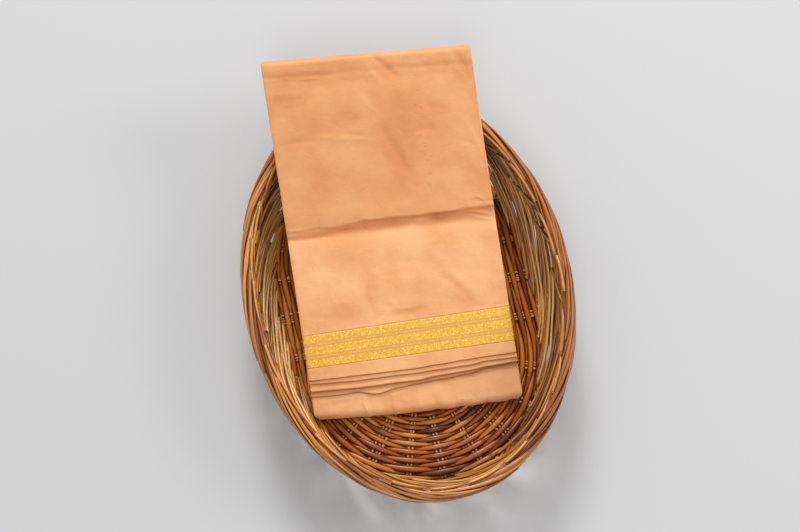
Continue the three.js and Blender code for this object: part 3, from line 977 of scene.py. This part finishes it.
def make_core():
    seam, top = LOWER_END + GAP, PACK_RUN - BACK_END - GAP
    runs = np.concatenate([
        [2.1, 2.6, 3.6, 5.2, 7.3],
        np.linspace(10, seam, 22),
        [seam + 0.3],
        np.linspace(61, 99, 15),
        np.linspace(101, 334, 96),
        [top - 1.5, top - 1.2],
        np.linspace(337, TOP_CENTRE[0], 8),
        TOP_CENTRE[0] + np.array([1.6, 3.0, 4.2, 5.0, 5.6]),
    ])
    low, high = np.array([core_span(run) for run in runs]).T
    lobes = CORE_LEAVES * LEAF_POINTS
    point = np.arange(lobes + 1)[:, None]
    leaf = np.minimum(point[:, 0] // LEAF_POINTS, CORE_LEAVES - 1)
    bulge = np.abs(np.sin(math.pi * point / LEAF_POINTS)) ** 0.6
    level = low + (high - low) * point / lobes
    under = SIDE_ROUND * np.clip(1 - level / 6, 0, None) ** 2
    # the lower folds stick out a little on the left, below the free edges
    proud = 2.3 * smoothstep(runs, 3, 28) * (1 - smoothstep(runs, 36, 72))
    sides = []
    for side in (0, 1):
        drift = np.array([
            rng.normal(0, 0.45) + 0.9 * soft_noise(runs, 0.0, int(rng.integers(1000)), 90.0)
            for _ in range(CORE_LEAVES)
        ])
        inset = 1.9 - 1.15 * bulge + drift[leaf] * (0.35 + 0.4 * bulge) + under
        across = (np.maximum(inset, 0.15) - proud * (side == 0)) / PACK_WIDTH
        sides.append(pack_point(1 - across if side else across, runs, level))
    inner = np.linspace(0.03, 0.97, CORE_COLUMNS)[:, None]
    sink = 0.9 + 1.4 * smoothstep(runs, 12, 20) * (1 - smoothstep(runs, 44, 58))
    above, below = pack_point(inner, runs, high - sink), pack_point(inner, runs, low + 0.2)
    section = np.concatenate([sides[0], above, sides[1][::-1], below[::-1]])
    height = np.concatenate([level, high + 0 * inner, level[::-1], low + 0 * inner])
    # painted shade: darker in the crevices between the inner layers' folded edges
    crevice_shade, plain = 0.8 * (1 - bulge) ** 2, 0 * inner
    deep = np.concatenate([crevice_shade, plain, crevice_shade[::-1], plain]) + 0 * runs
    size = len(section)
    end = np.arange(size)[None]
    last = (len(runs) - 1) * size
    faces = [grid_faces(len(runs), size), end[:, ::-1], last + end]
    uv = by_rings(np.stack([height * 3, runs + 0 * height], -1))
    attributes = {"fold": by_rings(deep)}
    name = "sari_core_layers"
    return make_object(name, by_rings(section), faces, SILK_SHADED, attributes, uv)


# ---- rods ----

FLOOR_CLEARANCE = 0.05
STREAK_SHIFT = 900  # sets the streaks of one rod apart from the next one's


class Rods:
    """Gathers many tubes into one mesh, each with its tone, and its cut ends apart."""

    def __init__(self):
        self.vertices, self.faces, self.caps = [], [], []
        self.looks = {"tone": [], "along": [], "around": [], "crest": []}
        self.count = 0

    def add(self, points, radius, tone, flat=1.0, sides=8, taper=1.0, exposed=(0, 0, 1.0)):
        """exposed is the direction of a rod's free side at each point, which sets where the painted
        shade along its sides falls; upward if not given.
        """
        tangent = unit(np.gradient(points, axis=0))
        aside = unit(np.cross(tangent, (0, 0, 1.0)))
        normal = np.cross(aside, tangent)
        angle = np.linspace(0, 2 * math.pi, sides, endpoint=False)[:, None]
        scale = (radius * taper + np.zeros(len(points)))[:, None, None]
        out = aside[:, None] * np.cos(angle) + normal[:, None] * np.sin(angle) * flat
        ring = points[:, None] + out * scale
        # a rod that rests on the floor is pressed level there
        ring[..., 2] = np.maximum(ring[..., 2], FLOOR_CLEARANCE)
        free = np.broadcast_to(exposed, points.shape)[:, None]
        step = np.linalg.norm(np.diff(points, axis=0), axis=1)
        length = np.concatenate([[0], np.cumsum(step)])
        turn = np.abs(np.linspace(-1, 1, sides, endpoint=False))
        rows = len(points)
        self.looks["tone"].append(np.full(rows * sides, tone))
        self.looks["along"].append(np.repeat(length + tone * STREAK_SHIFT, sides))
        self.looks["around"].append(np.tile(turn, rows))
        # crest is 1 on the rod's free face and 0 on its sides, and masks the painted shade along
        # them
        facing = (unit(ring - points[:, None]) * free).sum(axis=2)
        self.looks["crest"].append(np.abs(facing).ravel())
        self.vertices.append(ring.reshape(-1, 3))
        self.faces.append(grid_faces(rows, sides) + self.count)
        end = self.count + np.arange(sides)
        self.caps += [end[::-1], end + (rows - 1) * sides]
        self.count += rows * sides

    def build(self, name, material):
        faces = [np.concatenate(self.faces)]
        for sides in sorted({len(cap) for cap in self.caps}):
            faces.append(np.array([cap for cap in self.caps if len(cap) == sides]))
        looks = {key: np.concatenate(values) for key, values in self.looks.items()}
        thing = make_object(name, np.concatenate(self.vertices), faces, material, looks)
        thing.data.materials.append(CUT_END)
        cut = np.arange(len(thing.data.polygons)) >= len(faces[0])
        thing.data.polygons.foreach_set("material_index", cut.astype(np.int32))
        return thing


FRAY_THREADS = 46  # at each end of the border
FRAY_RADIUS = 0.14


def make_fray():
    """Short loose ends of gold thread where the border's band meets the pack's two sides."""
    threads = Rods()
    for side in (0, 1):
        for i in range(FRAY_THREADS):
            share = (i + rng.uniform(0, 1)) / FRAY_THREADS
            foot, head = BORDER_FOOT[side], BORDER_HEAD[side]
            run = foot + (head - foot) * share
            reach = rng.uniform(0.7, 2.6)
            bend = rng.uniform(-1.4, 1.4)
            s = np.linspace(0, 1, 6)
            out = reach * s / PACK_WIDTH - 0.004
            height = front_inner(run) + 0.9 - rng.uniform(0.6, 2.2) * s**2
            points = pack_point(1 + out if side else -out, run + bend * s**2, height)
            threads.add(points, FRAY_RADIUS, rng.uniform(0, 1), sides=5)
    return threads.build("zari_border_fray", ZARI_THREAD)


SLUB_COUNT = 44
SLUB_RADIUS = 0.17
SLUB_PLACE = 159.0  # mm from the left side
SLUB_RUN = (226.0, 342.0)
SLUB_SPACING = 14.0  # most of them lie near places this far apart


def make_slubs():
    """Short pale threads that stand out of the weave in one line up the upper half."""
    draws = np.random.default_rng(19)
    slubs = Rods()
    for _ in range(SLUB_COUNT):
        middle = SLUB_PLACE + draws.normal(0, 2.2)
        run = draws.uniform(*SLUB_RUN)
        near = round(run / SLUB_SPACING) * SLUB_SPACING + draws.normal(0, 2.0)
        run = 0.35 * run + 0.65 * near
        s = np.linspace(-1, 1, 5)
        across = (middle + draws.uniform(0.5, 1.4) * s) / PACK_WIDTH
        height = front_inner(run) + CLOTH + front_face(across, run) + 0.12 - 0.16 * s**2
        points = pack_point(across, run + draws.normal(0, 0.25) * s, height)
        slubs.add(points, SLUB_RADIUS, draws.uniform(0, 1), sides=5)
    return slubs.build("sari_slubs", SLUB)


# ---- the basket's weave ----

CORE_HALF = BASE_HALF[1] - BASE_HALF[0]  # the base's rows run round a straight core this long
ROW_PITCH = 4.5
ROW_COUNT = 30
SHORT_ROWS = 8  # this many inner rows are one rod each, and the others three
ROW_STEP = 3.6  # mm between a row's points
SPOKE_LEVEL = 4.0
WEAVER_HALF = (2.65, 1.6)
WEAVER_LIFT = 2.3  # how far a row passes over and under the spokes' level
SPOKE_RADIUS = 1.3
CROSS_SPOKES = (50.0, 5.0, -40.0)
FAN_ANGLES = (-73, -54, -36, -18, -2, 16, 34, 52, 71)  # from the long axis, at each end
FAN_RODS = (3, 2, 3, 2, 2, 2, 3, 2, 3)


def stadium(distance, count):
    """Points of a loop at `distance` round the core, anticlockwise from the near right."""
    half = 2 * CORE_HALF + math.pi * distance
    s = np.linspace(0, 2 * half, count, endpoint=False)
    on_half = s % half
    side = np.where(s < half, 1, -1)
    angle = np.clip(on_half - 2 * CORE_HALF, 0, None) / distance
    x = side * distance * np.cos(angle)
    y = np.minimum(on_half, 2 * CORE_HALF) - CORE_HALF + distance * np.sin(angle)
    return s, x, side * y, 2 * half


def crossing_places(distance):
    """Where a row meets the spokes, as distances along the loop, in order."""
    places = []
    for start, side in ((0, 1), (2 * CORE_HALF + math.pi * distance, -1)):
        places += [start + CORE_HALF + side * y for y in CROSS_SPOKES]
        turns = [math.radians(90 - side * angle) for angle in FAN_ANGLES]
        places += [start + 2 * CORE_HALF + distance * turn for turn in turns]
    return np.sort(places)


def over_and_under(s, places, row, total):
    """A wave along a row: 1 where it passes over a spoke and -1 where it passes under."""
    signs = np.tile(1 - 2 * ((np.arange(len(places)) + row) % 2), 3)
    wide = np.concatenate([places - total, places, places + total])
    before = np.searchsorted(wide, s, side="right") - 1
    share = (s - wide[before]) / (wide[before + 1] - wide[before])
    ease = (1 - np.cos(math.pi * share)) / 2
    return signs[before] + (signs[before + 1] - signs[before]) * ease


def add_row(rods, row):
    distance = row * ROW_PITCH
    count = max(28, int((4 * CORE_HALF + 2 * math.pi * distance) / ROW_STEP))
    s, x, y, total = stadium(distance, count)
    wave = over_and_under(s, crossing_places(distance), row, total)
    sway = 0.3 * np.sin(s * 0.047 + row * 1.7) + 0.2 * np.sin(s * 0.021 + row * 2.9)
    off_core = y - np.clip(y, -CORE_HALF, CORE_HALF)
    z = SPOKE_LEVEL + wave * WEAVER_LIFT * (0.92 + 0.08 * np.sin(s * 0.05 + row))
    points = np.stack([x + x / distance * sway, y + off_core / distance * sway, z], -1)
    # each row is a few rods, end to end
    cuts = np.sort(rng.choice(count, 3 if row > SHORT_ROWS else 1, replace=False))
    row_tone = rng.normal(0, 0.1)
    for i, cut in enumerate(cuts):
        stop = cuts[(i + 1) % len(cuts)]
        index = np.arange(cut, stop + (count if stop <= cut else 0) + 1) % count
        radius = WEAVER_HALF[0] * (1 + rng.normal(0, 0.07))
        swell = 0.99 + 0.23 * wave[index] + 0.05 * np.sin(index * 0.31 + row)
        tone = np.clip(0.56 + row_tone + rng.normal(0, 0.21), 0.08, 0.98)
        flat = WEAVER_HALF[1] / WEAVER_HALF[0]
        rods.add(points[index], radius, tone, flat=flat, taper=swell)


def add_spoke(rods, start, end, number, spread=0.0):
    """A bunch of `number` thin rods side by side, which the rows pass over and under."""
    start, end = np.array(start), np.array(end)
    direction = unit(end - start)
    aside = np.array([-direction[1], direction[0]])
    share = np.linspace(0, 1, int(np.linalg.norm(end - start) / 8) + 2)[:, None]
    for i in range(number):
        shift = (i - (number - 1) / 2) * SPOKE_RADIUS * rng.uniform(2.1, 2.9)
        points = start + (end - start) * share + aside * shift * (1 + spread * share)
        points = points + aside * 0.4 * np.sin(share * 14 + i * 2)
        z = np.full((len(share), 1), SPOKE_LEVEL + 0.7 + rng.normal(0, 0.2))
        tone = np.clip(0.9 + rng.normal(0, 0.1), 0.1, 0.99)
        rods.add(np.hstack([points, z]), SPOKE_RADIUS * rng.uniform(0.9, 1.12), tone)


def make_base():
    weavers, spokes = Rods(), Rods()
    for row in range(1, ROW_COUNT + 1):
        add_row(weavers, row)
    reach = ROW_COUNT * ROW_PITCH + 2.5
    for i, y in enumerate(CROSS_SPOKES):
        add_spoke(spokes, (-reach, y + 8), (reach, y - 2), 3 + i % 2)
    for end in (-1, 1):
        centre = np.array([0, end * CORE_HALF])
        for angle, number in zip(np.radians(FAN_ANGLES), FAN_RODS):
            direction = np.array([math.sin(angle), end * math.cos(angle)])
            ends = centre + direction * 4, centre + direction * reach
            add_spoke(spokes, *ends, number, 0.25)
    add_spoke(spokes, (0, -CORE_HALF), (0, CORE_HALF), 3)
    add_foot(weavers)
    return (
        weavers.build("basket_base_weavers", WICKER_BASE),
        spokes.build("basket_base_spokes", WICKER_BASE),
    )


def oval(half, squareness, angle, z):
    """Points at height z on an oval: an ellipse for a squareness of 2, and squarer above."""
    c, s = np.cos(angle), np.sin(angle)
    x = half[0] * np.sign(c) * np.abs(c) ** (2 / squareness)
    y = half[1] * np.sign(s) * np.abs(s) ** (2 / squareness)
    return np.stack([x, y, z + 0 * x], -1)


FOOT_STRANDS = 3
FOOT_TURNS = 36


def add_foot(rods):
    """A twisted border of three rods round the base's outer edge."""
    angle = np.linspace(0, 2 * math.pi, 340, endpoint=False)
    for strand in range(FOOT_STRANDS):
        twist = angle * FOOT_TURNS + 2 * math.pi * strand / FOOT_STRANDS
        outward = 4.3 + 1.9 * np.cos(twist)
        half = [size + outward for size in BASE_HALF]
        points = oval(half, BASE_SQUARENESS, angle, 4.0 + 1.9 * np.sin(twist))
        rods.add(np.vstack([points, points[:2]]), 2.0, 0.4 + 0.12 * strand)


def wall_point(angle, share, outward):
    """A point in the wall: share 0 at its foot and 1 at its head, outward 0 on its inner face."""
    held = np.clip(share, 0, 1)
    swell = WALL_SWELL * np.sin(math.pi * held)
    half = [
        foot + (rim - RIM_WIDTH + 2 - foot) * share + swell + outward
        for foot, rim in zip(BASE_HALF, RIM_HALF)
    ]
    squareness = BASE_SQUARENESS + (2 - BASE_SQUARENESS) * held
    return oval(half, squareness, angle, WALL_FOOT + (WALL_HEAD - WALL_FOOT) * share)


RIM_REACH = 5.6  # rods lie on a circle of this radius round the rim's middle line
RIM_DROP = 0.2  # how far that circle's middle lies below the rim's


def rim_point(angle, turn, radius):
    """A point round the rim's section: turn 0 faces out, a quarter turn up and a half turn in."""
    outward = radius * np.cos(turn) - RIM_WIDTH / 2
    z = BASKET_HEIGHT - RIM_HEIGHT / 2 + radius * np.sin(turn) - RIM_DROP
    return oval([size + outward for size in RIM_HALF], 2.0, angle, z)


BUNDLES = 22
# the wall's layers: rods in a bundle, how far out they lie, radius, tone, which is lower for the
# deeper layers as painted shade, drift, degrees round the basket while a rod climbs the wall,
# and whether it is seen from inside
LAYERS = (
    (3, 1.6, 1.5, 0.78, 2.6, 62, True),
    (3, 3.8, 1.6, 0.62, 3.0, 44, True),
    (6, 6.2, 1.7, 0.55, 1.4, 34, False),
)
FAR_LEFT_PAINTED_LIGHT = 0.28  # painted light: the inner rods of the far left side are paler
FAR_LEFT_TURN = 32  # degrees from the left side towards the far one
NEAR_PAINTED_SHADE = 0.16  # and painted shade makes the rim's rods of the near side darker
RIM_RODS = 3
WALL_SLANT = 71.0
WALL_SWEEP = 54  # degrees round the basket while a bundle climbs the wall
RIM_SWEEP = 58
RIM_FOOT_TURN = 232  # where on the rim's section a rod comes up from the wall
WALL_STEPS = 42
RIM_STEPS = 64
RIM_CLIMB = 25.0  # over the rim's section, from its inner foot to its outer side
ROD_RADIUS = 1.42


def side_point(angle, climb, out):
    """A point on the basket's side: climb in mm up the wall and on over the rim."""
    on_wall = wall_point(angle, climb / WALL_SLANT, out)
    turn = math.radians(RIM_FOOT_TURN) - (climb - WALL_SLANT) / RIM_REACH
    on_rim = rim_point(angle, turn, RIM_REACH + 0.5 * (1.5 - out))
    blend = smoothstep(climb, WALL_SLANT - 8, WALL_SLANT + 4)[:, None]
    return on_wall * (1 - blend) + on_rim * blend


def exposed_direction(points, inner=False):
    """Which way a rod's free side looks: into the basket and up from the wall's inner rods,
    level from its outer ones, and away from the middle of the rim."""
    angle = np.arctan2(points[:, 1] / RIM_HALF[1], points[:, 0] / RIM_HALF[0])
    middle = rim_point(angle, 0.0, 0.0) + np.array([0, 0, RIM_DROP])
    x, y = middle[:, 0], middle[:, 1]
    level = unit(np.stack([x / RIM_HALF[0] ** 2, y / RIM_HALF[1] ** 2, 0 * x], -1))
    low = -0.45 * level + np.array([0, 0, 0.9]) if inner else level
    high = smoothstep(points[:, 2], 70, 80)[:, None]
    return unit(low * (1 - high) + unit(points - middle) * high)


def wander(s, reach):
    """An uneven sideways drift along a rod, up to about `reach`."""
    first, second = rng.uniform(0, 2 * math.pi, 2)
    return reach * (0.6 * np.sin(s * rng.uniform(4, 8) + first) + 0.4 * np.sin(s * 13 + second))


def mixed_tone(middle, spread):
    return float(np.clip(middle + rng.normal(0, spread), 0.04, 0.99))


# painted shade on the rim's rods of the near side
def near_painted_shade(angle):
    return NEAR_PAINTED_SHADE * max(0.0, -math.sin(angle))


def add_wall_rod(rods, start, rise, out, layer):
    """One rod that climbs the wall from its foot and ends under the rim."""
    radius, tone, drift, sweep, inner = layer
    s = np.linspace(0, 1, WALL_STEPS)
    climb = -7 + 79 * s**1.04 + rise + wander(s, drift)
    points = side_point(start + math.radians(sweep) * s, climb, out + wander(s, 1.5))
    keep = (climb > -8) & (climb < WALL_SLANT + 3)
    taper = (np.linspace(1.12, 0.84, WALL_STEPS) * (1 + wander(s, 0.08)))[keep]
    radius = radius * (1 + rng.normal(0, 0.12))
    points = points[keep]
    free = exposed_direction(points, inner)
    rods.add(points, radius, tone, sides=8 if inner else 6, taper=taper, exposed=free)


def add_rim_rod(rods, start, rise, tone):
    """One rod that climbs the upper wall, goes on over the rim and ends on its outer side."""
    s = np.linspace(0, 1, RIM_STEPS)
    wall_part = 0.3
    steep = np.clip(s / wall_part, 0, 1)
    flat = np.clip((s - wall_part) / (1 - wall_part), 0, 1)
    climb = WALL_SLANT - 26 * (1 - steep) + RIM_CLIMB * flat + 0.6 * rise + wander(s, 1.5)
    angle = start - math.radians(20) * (1 - steep) + math.radians(RIM_SWEEP) * flat
    points = side_point(angle, climb, 1.3 + wander(s, 0.8) + rng.uniform(-0.5, 1.3))
    radius = ROD_RADIUS * (1.0 + rng.normal(0, 0.16))
    taper = np.linspace(1.1, 0.88, RIM_STEPS)
    rods.add(points, radius, tone, taper=taper, exposed=exposed_direction(points))


def make_wall_and_rim():
    wall, rim = Rods(), Rods()
    for bundle in range(BUNDLES):
        start = 2 * math.pi * bundle / BUNDLES + rng.normal(0, 0.03)
        bundle_tone = rng.normal(0, 0.06)
        far_left = max(0.0, -math.cos(start + math.radians(WALL_SWEEP / 2 + FAR_LEFT_TURN)))
        for layer, (number, out, radius, tone, drift, sweep, inner) in enumerate(LAYERS):
            pitch = WALL_SLANT / (sweep / 360 * BUNDLES)
            turned = start + math.radians((WALL_SWEEP - sweep) / 2)
            # painted light: the inner rods of the far left side are made paler
            middle_tone = tone + bundle_tone + FAR_LEFT_PAINTED_LIGHT * far_left * inner
            for rod in range(number):
                place = rod - (number - 1) / 2
                rise = (place / number + layer / 4) * pitch + rng.normal(0, 1.3)
                depth = out - 0.4 * place + rng.normal(0, 0.3)
                look = (radius, mixed_tone(middle_tone, 0.28), drift, sweep, inner)
                add_wall_rod(wall, turned, rise, depth, look)
        for rod in range(RIM_RODS):
            place = rod - (RIM_RODS - 1) / 2
            around = start + math.radians(WALL_SWEEP * 0.9 + place * 360 / BUNDLES / RIM_RODS)
            # painted shade on the rods of the near side
            shade = mixed_tone(0.62 + bundle_tone - near_painted_shade(around), 0.22)
            add_rim_rod(rim, around, rng.normal(0, 2.0), shade)
    add_rim_core(rim)
    add_rim_outline(rim)
    add_butts(rim)
    return (
        wall.build("basket_wall_rods", WICKER_WALL),
        rim.build("basket_rim_rods", WICKER_RIM),
    )


RIM_CORE_TURNS = (20, 92, 164, 236, 308)


def add_rim_core(rods):
    """Rods that run round inside the rim and fill it, of a dark tone that is painted shade in the
    gaps between the rim's rods.
    """
    angle = np.linspace(0, 2 * math.pi, 160)
    for turn in RIM_CORE_TURNS:
        points = rim_point(angle, math.radians(turn), 2.5)
        rods.add(points, 2.2, 0.24 + 0.03 * (turn % 3))


OUTLINE_RODS = 15


def add_rim_outline(rods):
    """Longer, thicker rods that lie along the rim's top and outer edge."""
    for i in range(OUTLINE_RODS):
        start = 2 * math.pi * (i + rng.uniform(-0.25, 0.25)) / OUTLINE_RODS
        s = np.linspace(0, 1, 50)
        sweep = math.radians(rng.uniform(58, 80))
        turn = np.radians(rng.uniform(120, 150) - rng.uniform(120, 170) * s) + wander(s, 0.17)
        reach = RIM_REACH + 0.2 + wander(s, 0.45)
        points = rim_point(start + sweep * s, turn, reach)
        radius = rng.uniform(1.3, 1.9)
        # painted shade on the rods of the near side
        tone = mixed_tone(0.66 - near_painted_shade(start + sweep / 2), 0.2)
        rods.add(points, radius, tone, exposed=exposed_direction(points))


BUTTS = 25


def add_butts(rods):
    """Thicker rods against the inside of the rim, each with its cut end left showing."""
    for i in range(BUTTS):
        cut = 2 * math.pi * (i + 0.22 * rng.uniform(-1, 1)) / BUTTS
        s = np.linspace(0, 1, 22)
        sweep = math.radians(rng.uniform(24, 33))
        drop = rng.uniform(0.16, 0.36)
        turn = math.radians(rng.uniform(122, 146))
        top = rim_point(cut + sweep * s, np.full(22, turn), RIM_REACH + 3.1 - 1.0 * s)
        low = wall_point(cut + sweep * s, 1.04 - drop * s, -1.6 + 3.0 * s)
        blend = smoothstep(s, 0.2, 1.0)[:, None]
        points = top * (1 - blend) + low * blend
        radius = rng.uniform(1.7, 2.1)
        rods.add(points, radius, mixed_tone(0.86, 0.08), exposed=exposed_direction(points))


# ---- make and place ----


def place_piece(thing, node=None):
    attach(thing, "root")
    if node:
        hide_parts(node)


def silk_piece(result, node):
    thing, length = result
    place_piece(thing, node)


core = make_core()
place_piece(core, "sari_core")

slubs = make_slubs()
place_piece(slubs)
silk_piece(make_front(), "sari_front_panel")
fray = make_fray()
place_piece(fray)
silk_piece(make_border(), "zari_border")
silk_piece(make_selvedge(), "selvedge_strip")
for node, column, number, seed in (
    ("sari_layer_2", "second", 2, 41),
    ("sari_layer_3", "third", 3, 43),
    ("sari_layer_4", "fourth", 4, 47),
):
    result = make_free_layer(node + "_silk", column, number, seed)
    silk_piece(result, node)
silk_piece(make_lower(), "sari_lower_panel")
silk_piece(make_back(), "sari_back_panel")

weavers, spokes = make_base()
place_piece(weavers, "basket_base")
place_piece(spokes)
wall_rods, rim_rods = make_wall_and_rim()
place_piece(wall_rods, "basket_wall")
place_piece(rim_rods, "basket_rim")

# ---- floor, lights and camera ----

FLOOR_REACH = 4.0
# name, place, width in m and power in W; all are aimed at LIGHT_TARGET
LIGHTS = (
    ("key", (0.25, 2.5, 2.15), 1.1, 68),
    ("fill", (-0.3, -0.9, 1.7), 0.6, 6),
    ("side", (1.9, -0.2, 1.5), 0.9, 13),
)
LIGHT_TARGET = (0, 0, 0.05)
WORLD_STRENGTH = 0.55
CAMERA_AZIMUTH = math.radians(-13)
CAMERA_ELEVATION = math.radians(73)
CAMERA_DISTANCE = 1.440
CAMERA_LENS = 60
CAMERA_TARGET = (0.0, 0.034, 0.040)  # from the basket's middle


def make_floor():
    mesh = bpy.data.meshes.new("floor")
    turns = ((-1, -1), (1, -1), (1, 1), (-1, 1))
    corners = [(x * FLOOR_REACH, y * FLOOR_REACH, 0) for x, y in turns]
    mesh.from_pydata(corners, [], [(0, 1, 2, 3)])
    floor = bpy.data.objects.new("floor", mesh)
    bpy.context.scene.collection.objects.link(floor)
    look = {"Base Color": (0.575, 0.575, 0.58, 1), "Roughness": 0.9, "Specular IOR Level": 0.1}
    mesh.materials.append(Look("floor").shade(look))


def aim(name, data, place, target):
    """An object at `place` that looks at `target`."""
    thing = bpy.data.objects.new(name, data)
    thing.location = place
    thing.rotation_mode = "QUATERNION"
    thing.rotation_quaternion = (Vector(target) - Vector(place)).to_track_quat("-Z", "Y")
    bpy.context.scene.collection.objects.link(thing)
    return thing


def make_lights():
    for name, place, size, power in LIGHTS:
        data = bpy.data.lights.new(name, "AREA")
        data.shape = "DISK"
        data.size = size
        data.energy = power
        aim(name, data, place, LIGHT_TARGET)
    world = bpy.data.worlds.new("studio")
    world.use_nodes = True
    background = world.node_tree.nodes["Background"]
    background.inputs["Color"].default_value = (1, 1, 1, 1)
    background.inputs["Strength"].default_value = WORLD_STRENGTH
    bpy.context.scene.world = world


def make_camera():
    level = math.cos(CAMERA_ELEVATION)
    back = Vector((
        math.sin(CAMERA_AZIMUTH) * level,
        -math.cos(CAMERA_AZIMUTH) * level,
        math.sin(CAMERA_ELEVATION),
    ))
    target = Vector(CAMERA_TARGET) + Vector(BASKET_CENTRE.tolist())
    data = bpy.data.cameras.new("camera")
    data.lens = CAMERA_LENS
    data.sensor_width = 36
    data.clip_start = 0.05
    data.clip_end = 50
    camera = aim("camera", data, target + back * CAMERA_DISTANCE, target)
    bpy.context.scene.camera = camera


make_floor()
make_lights()
make_camera()
bpy.context.scene.view_settings.view_transform = "Standard"
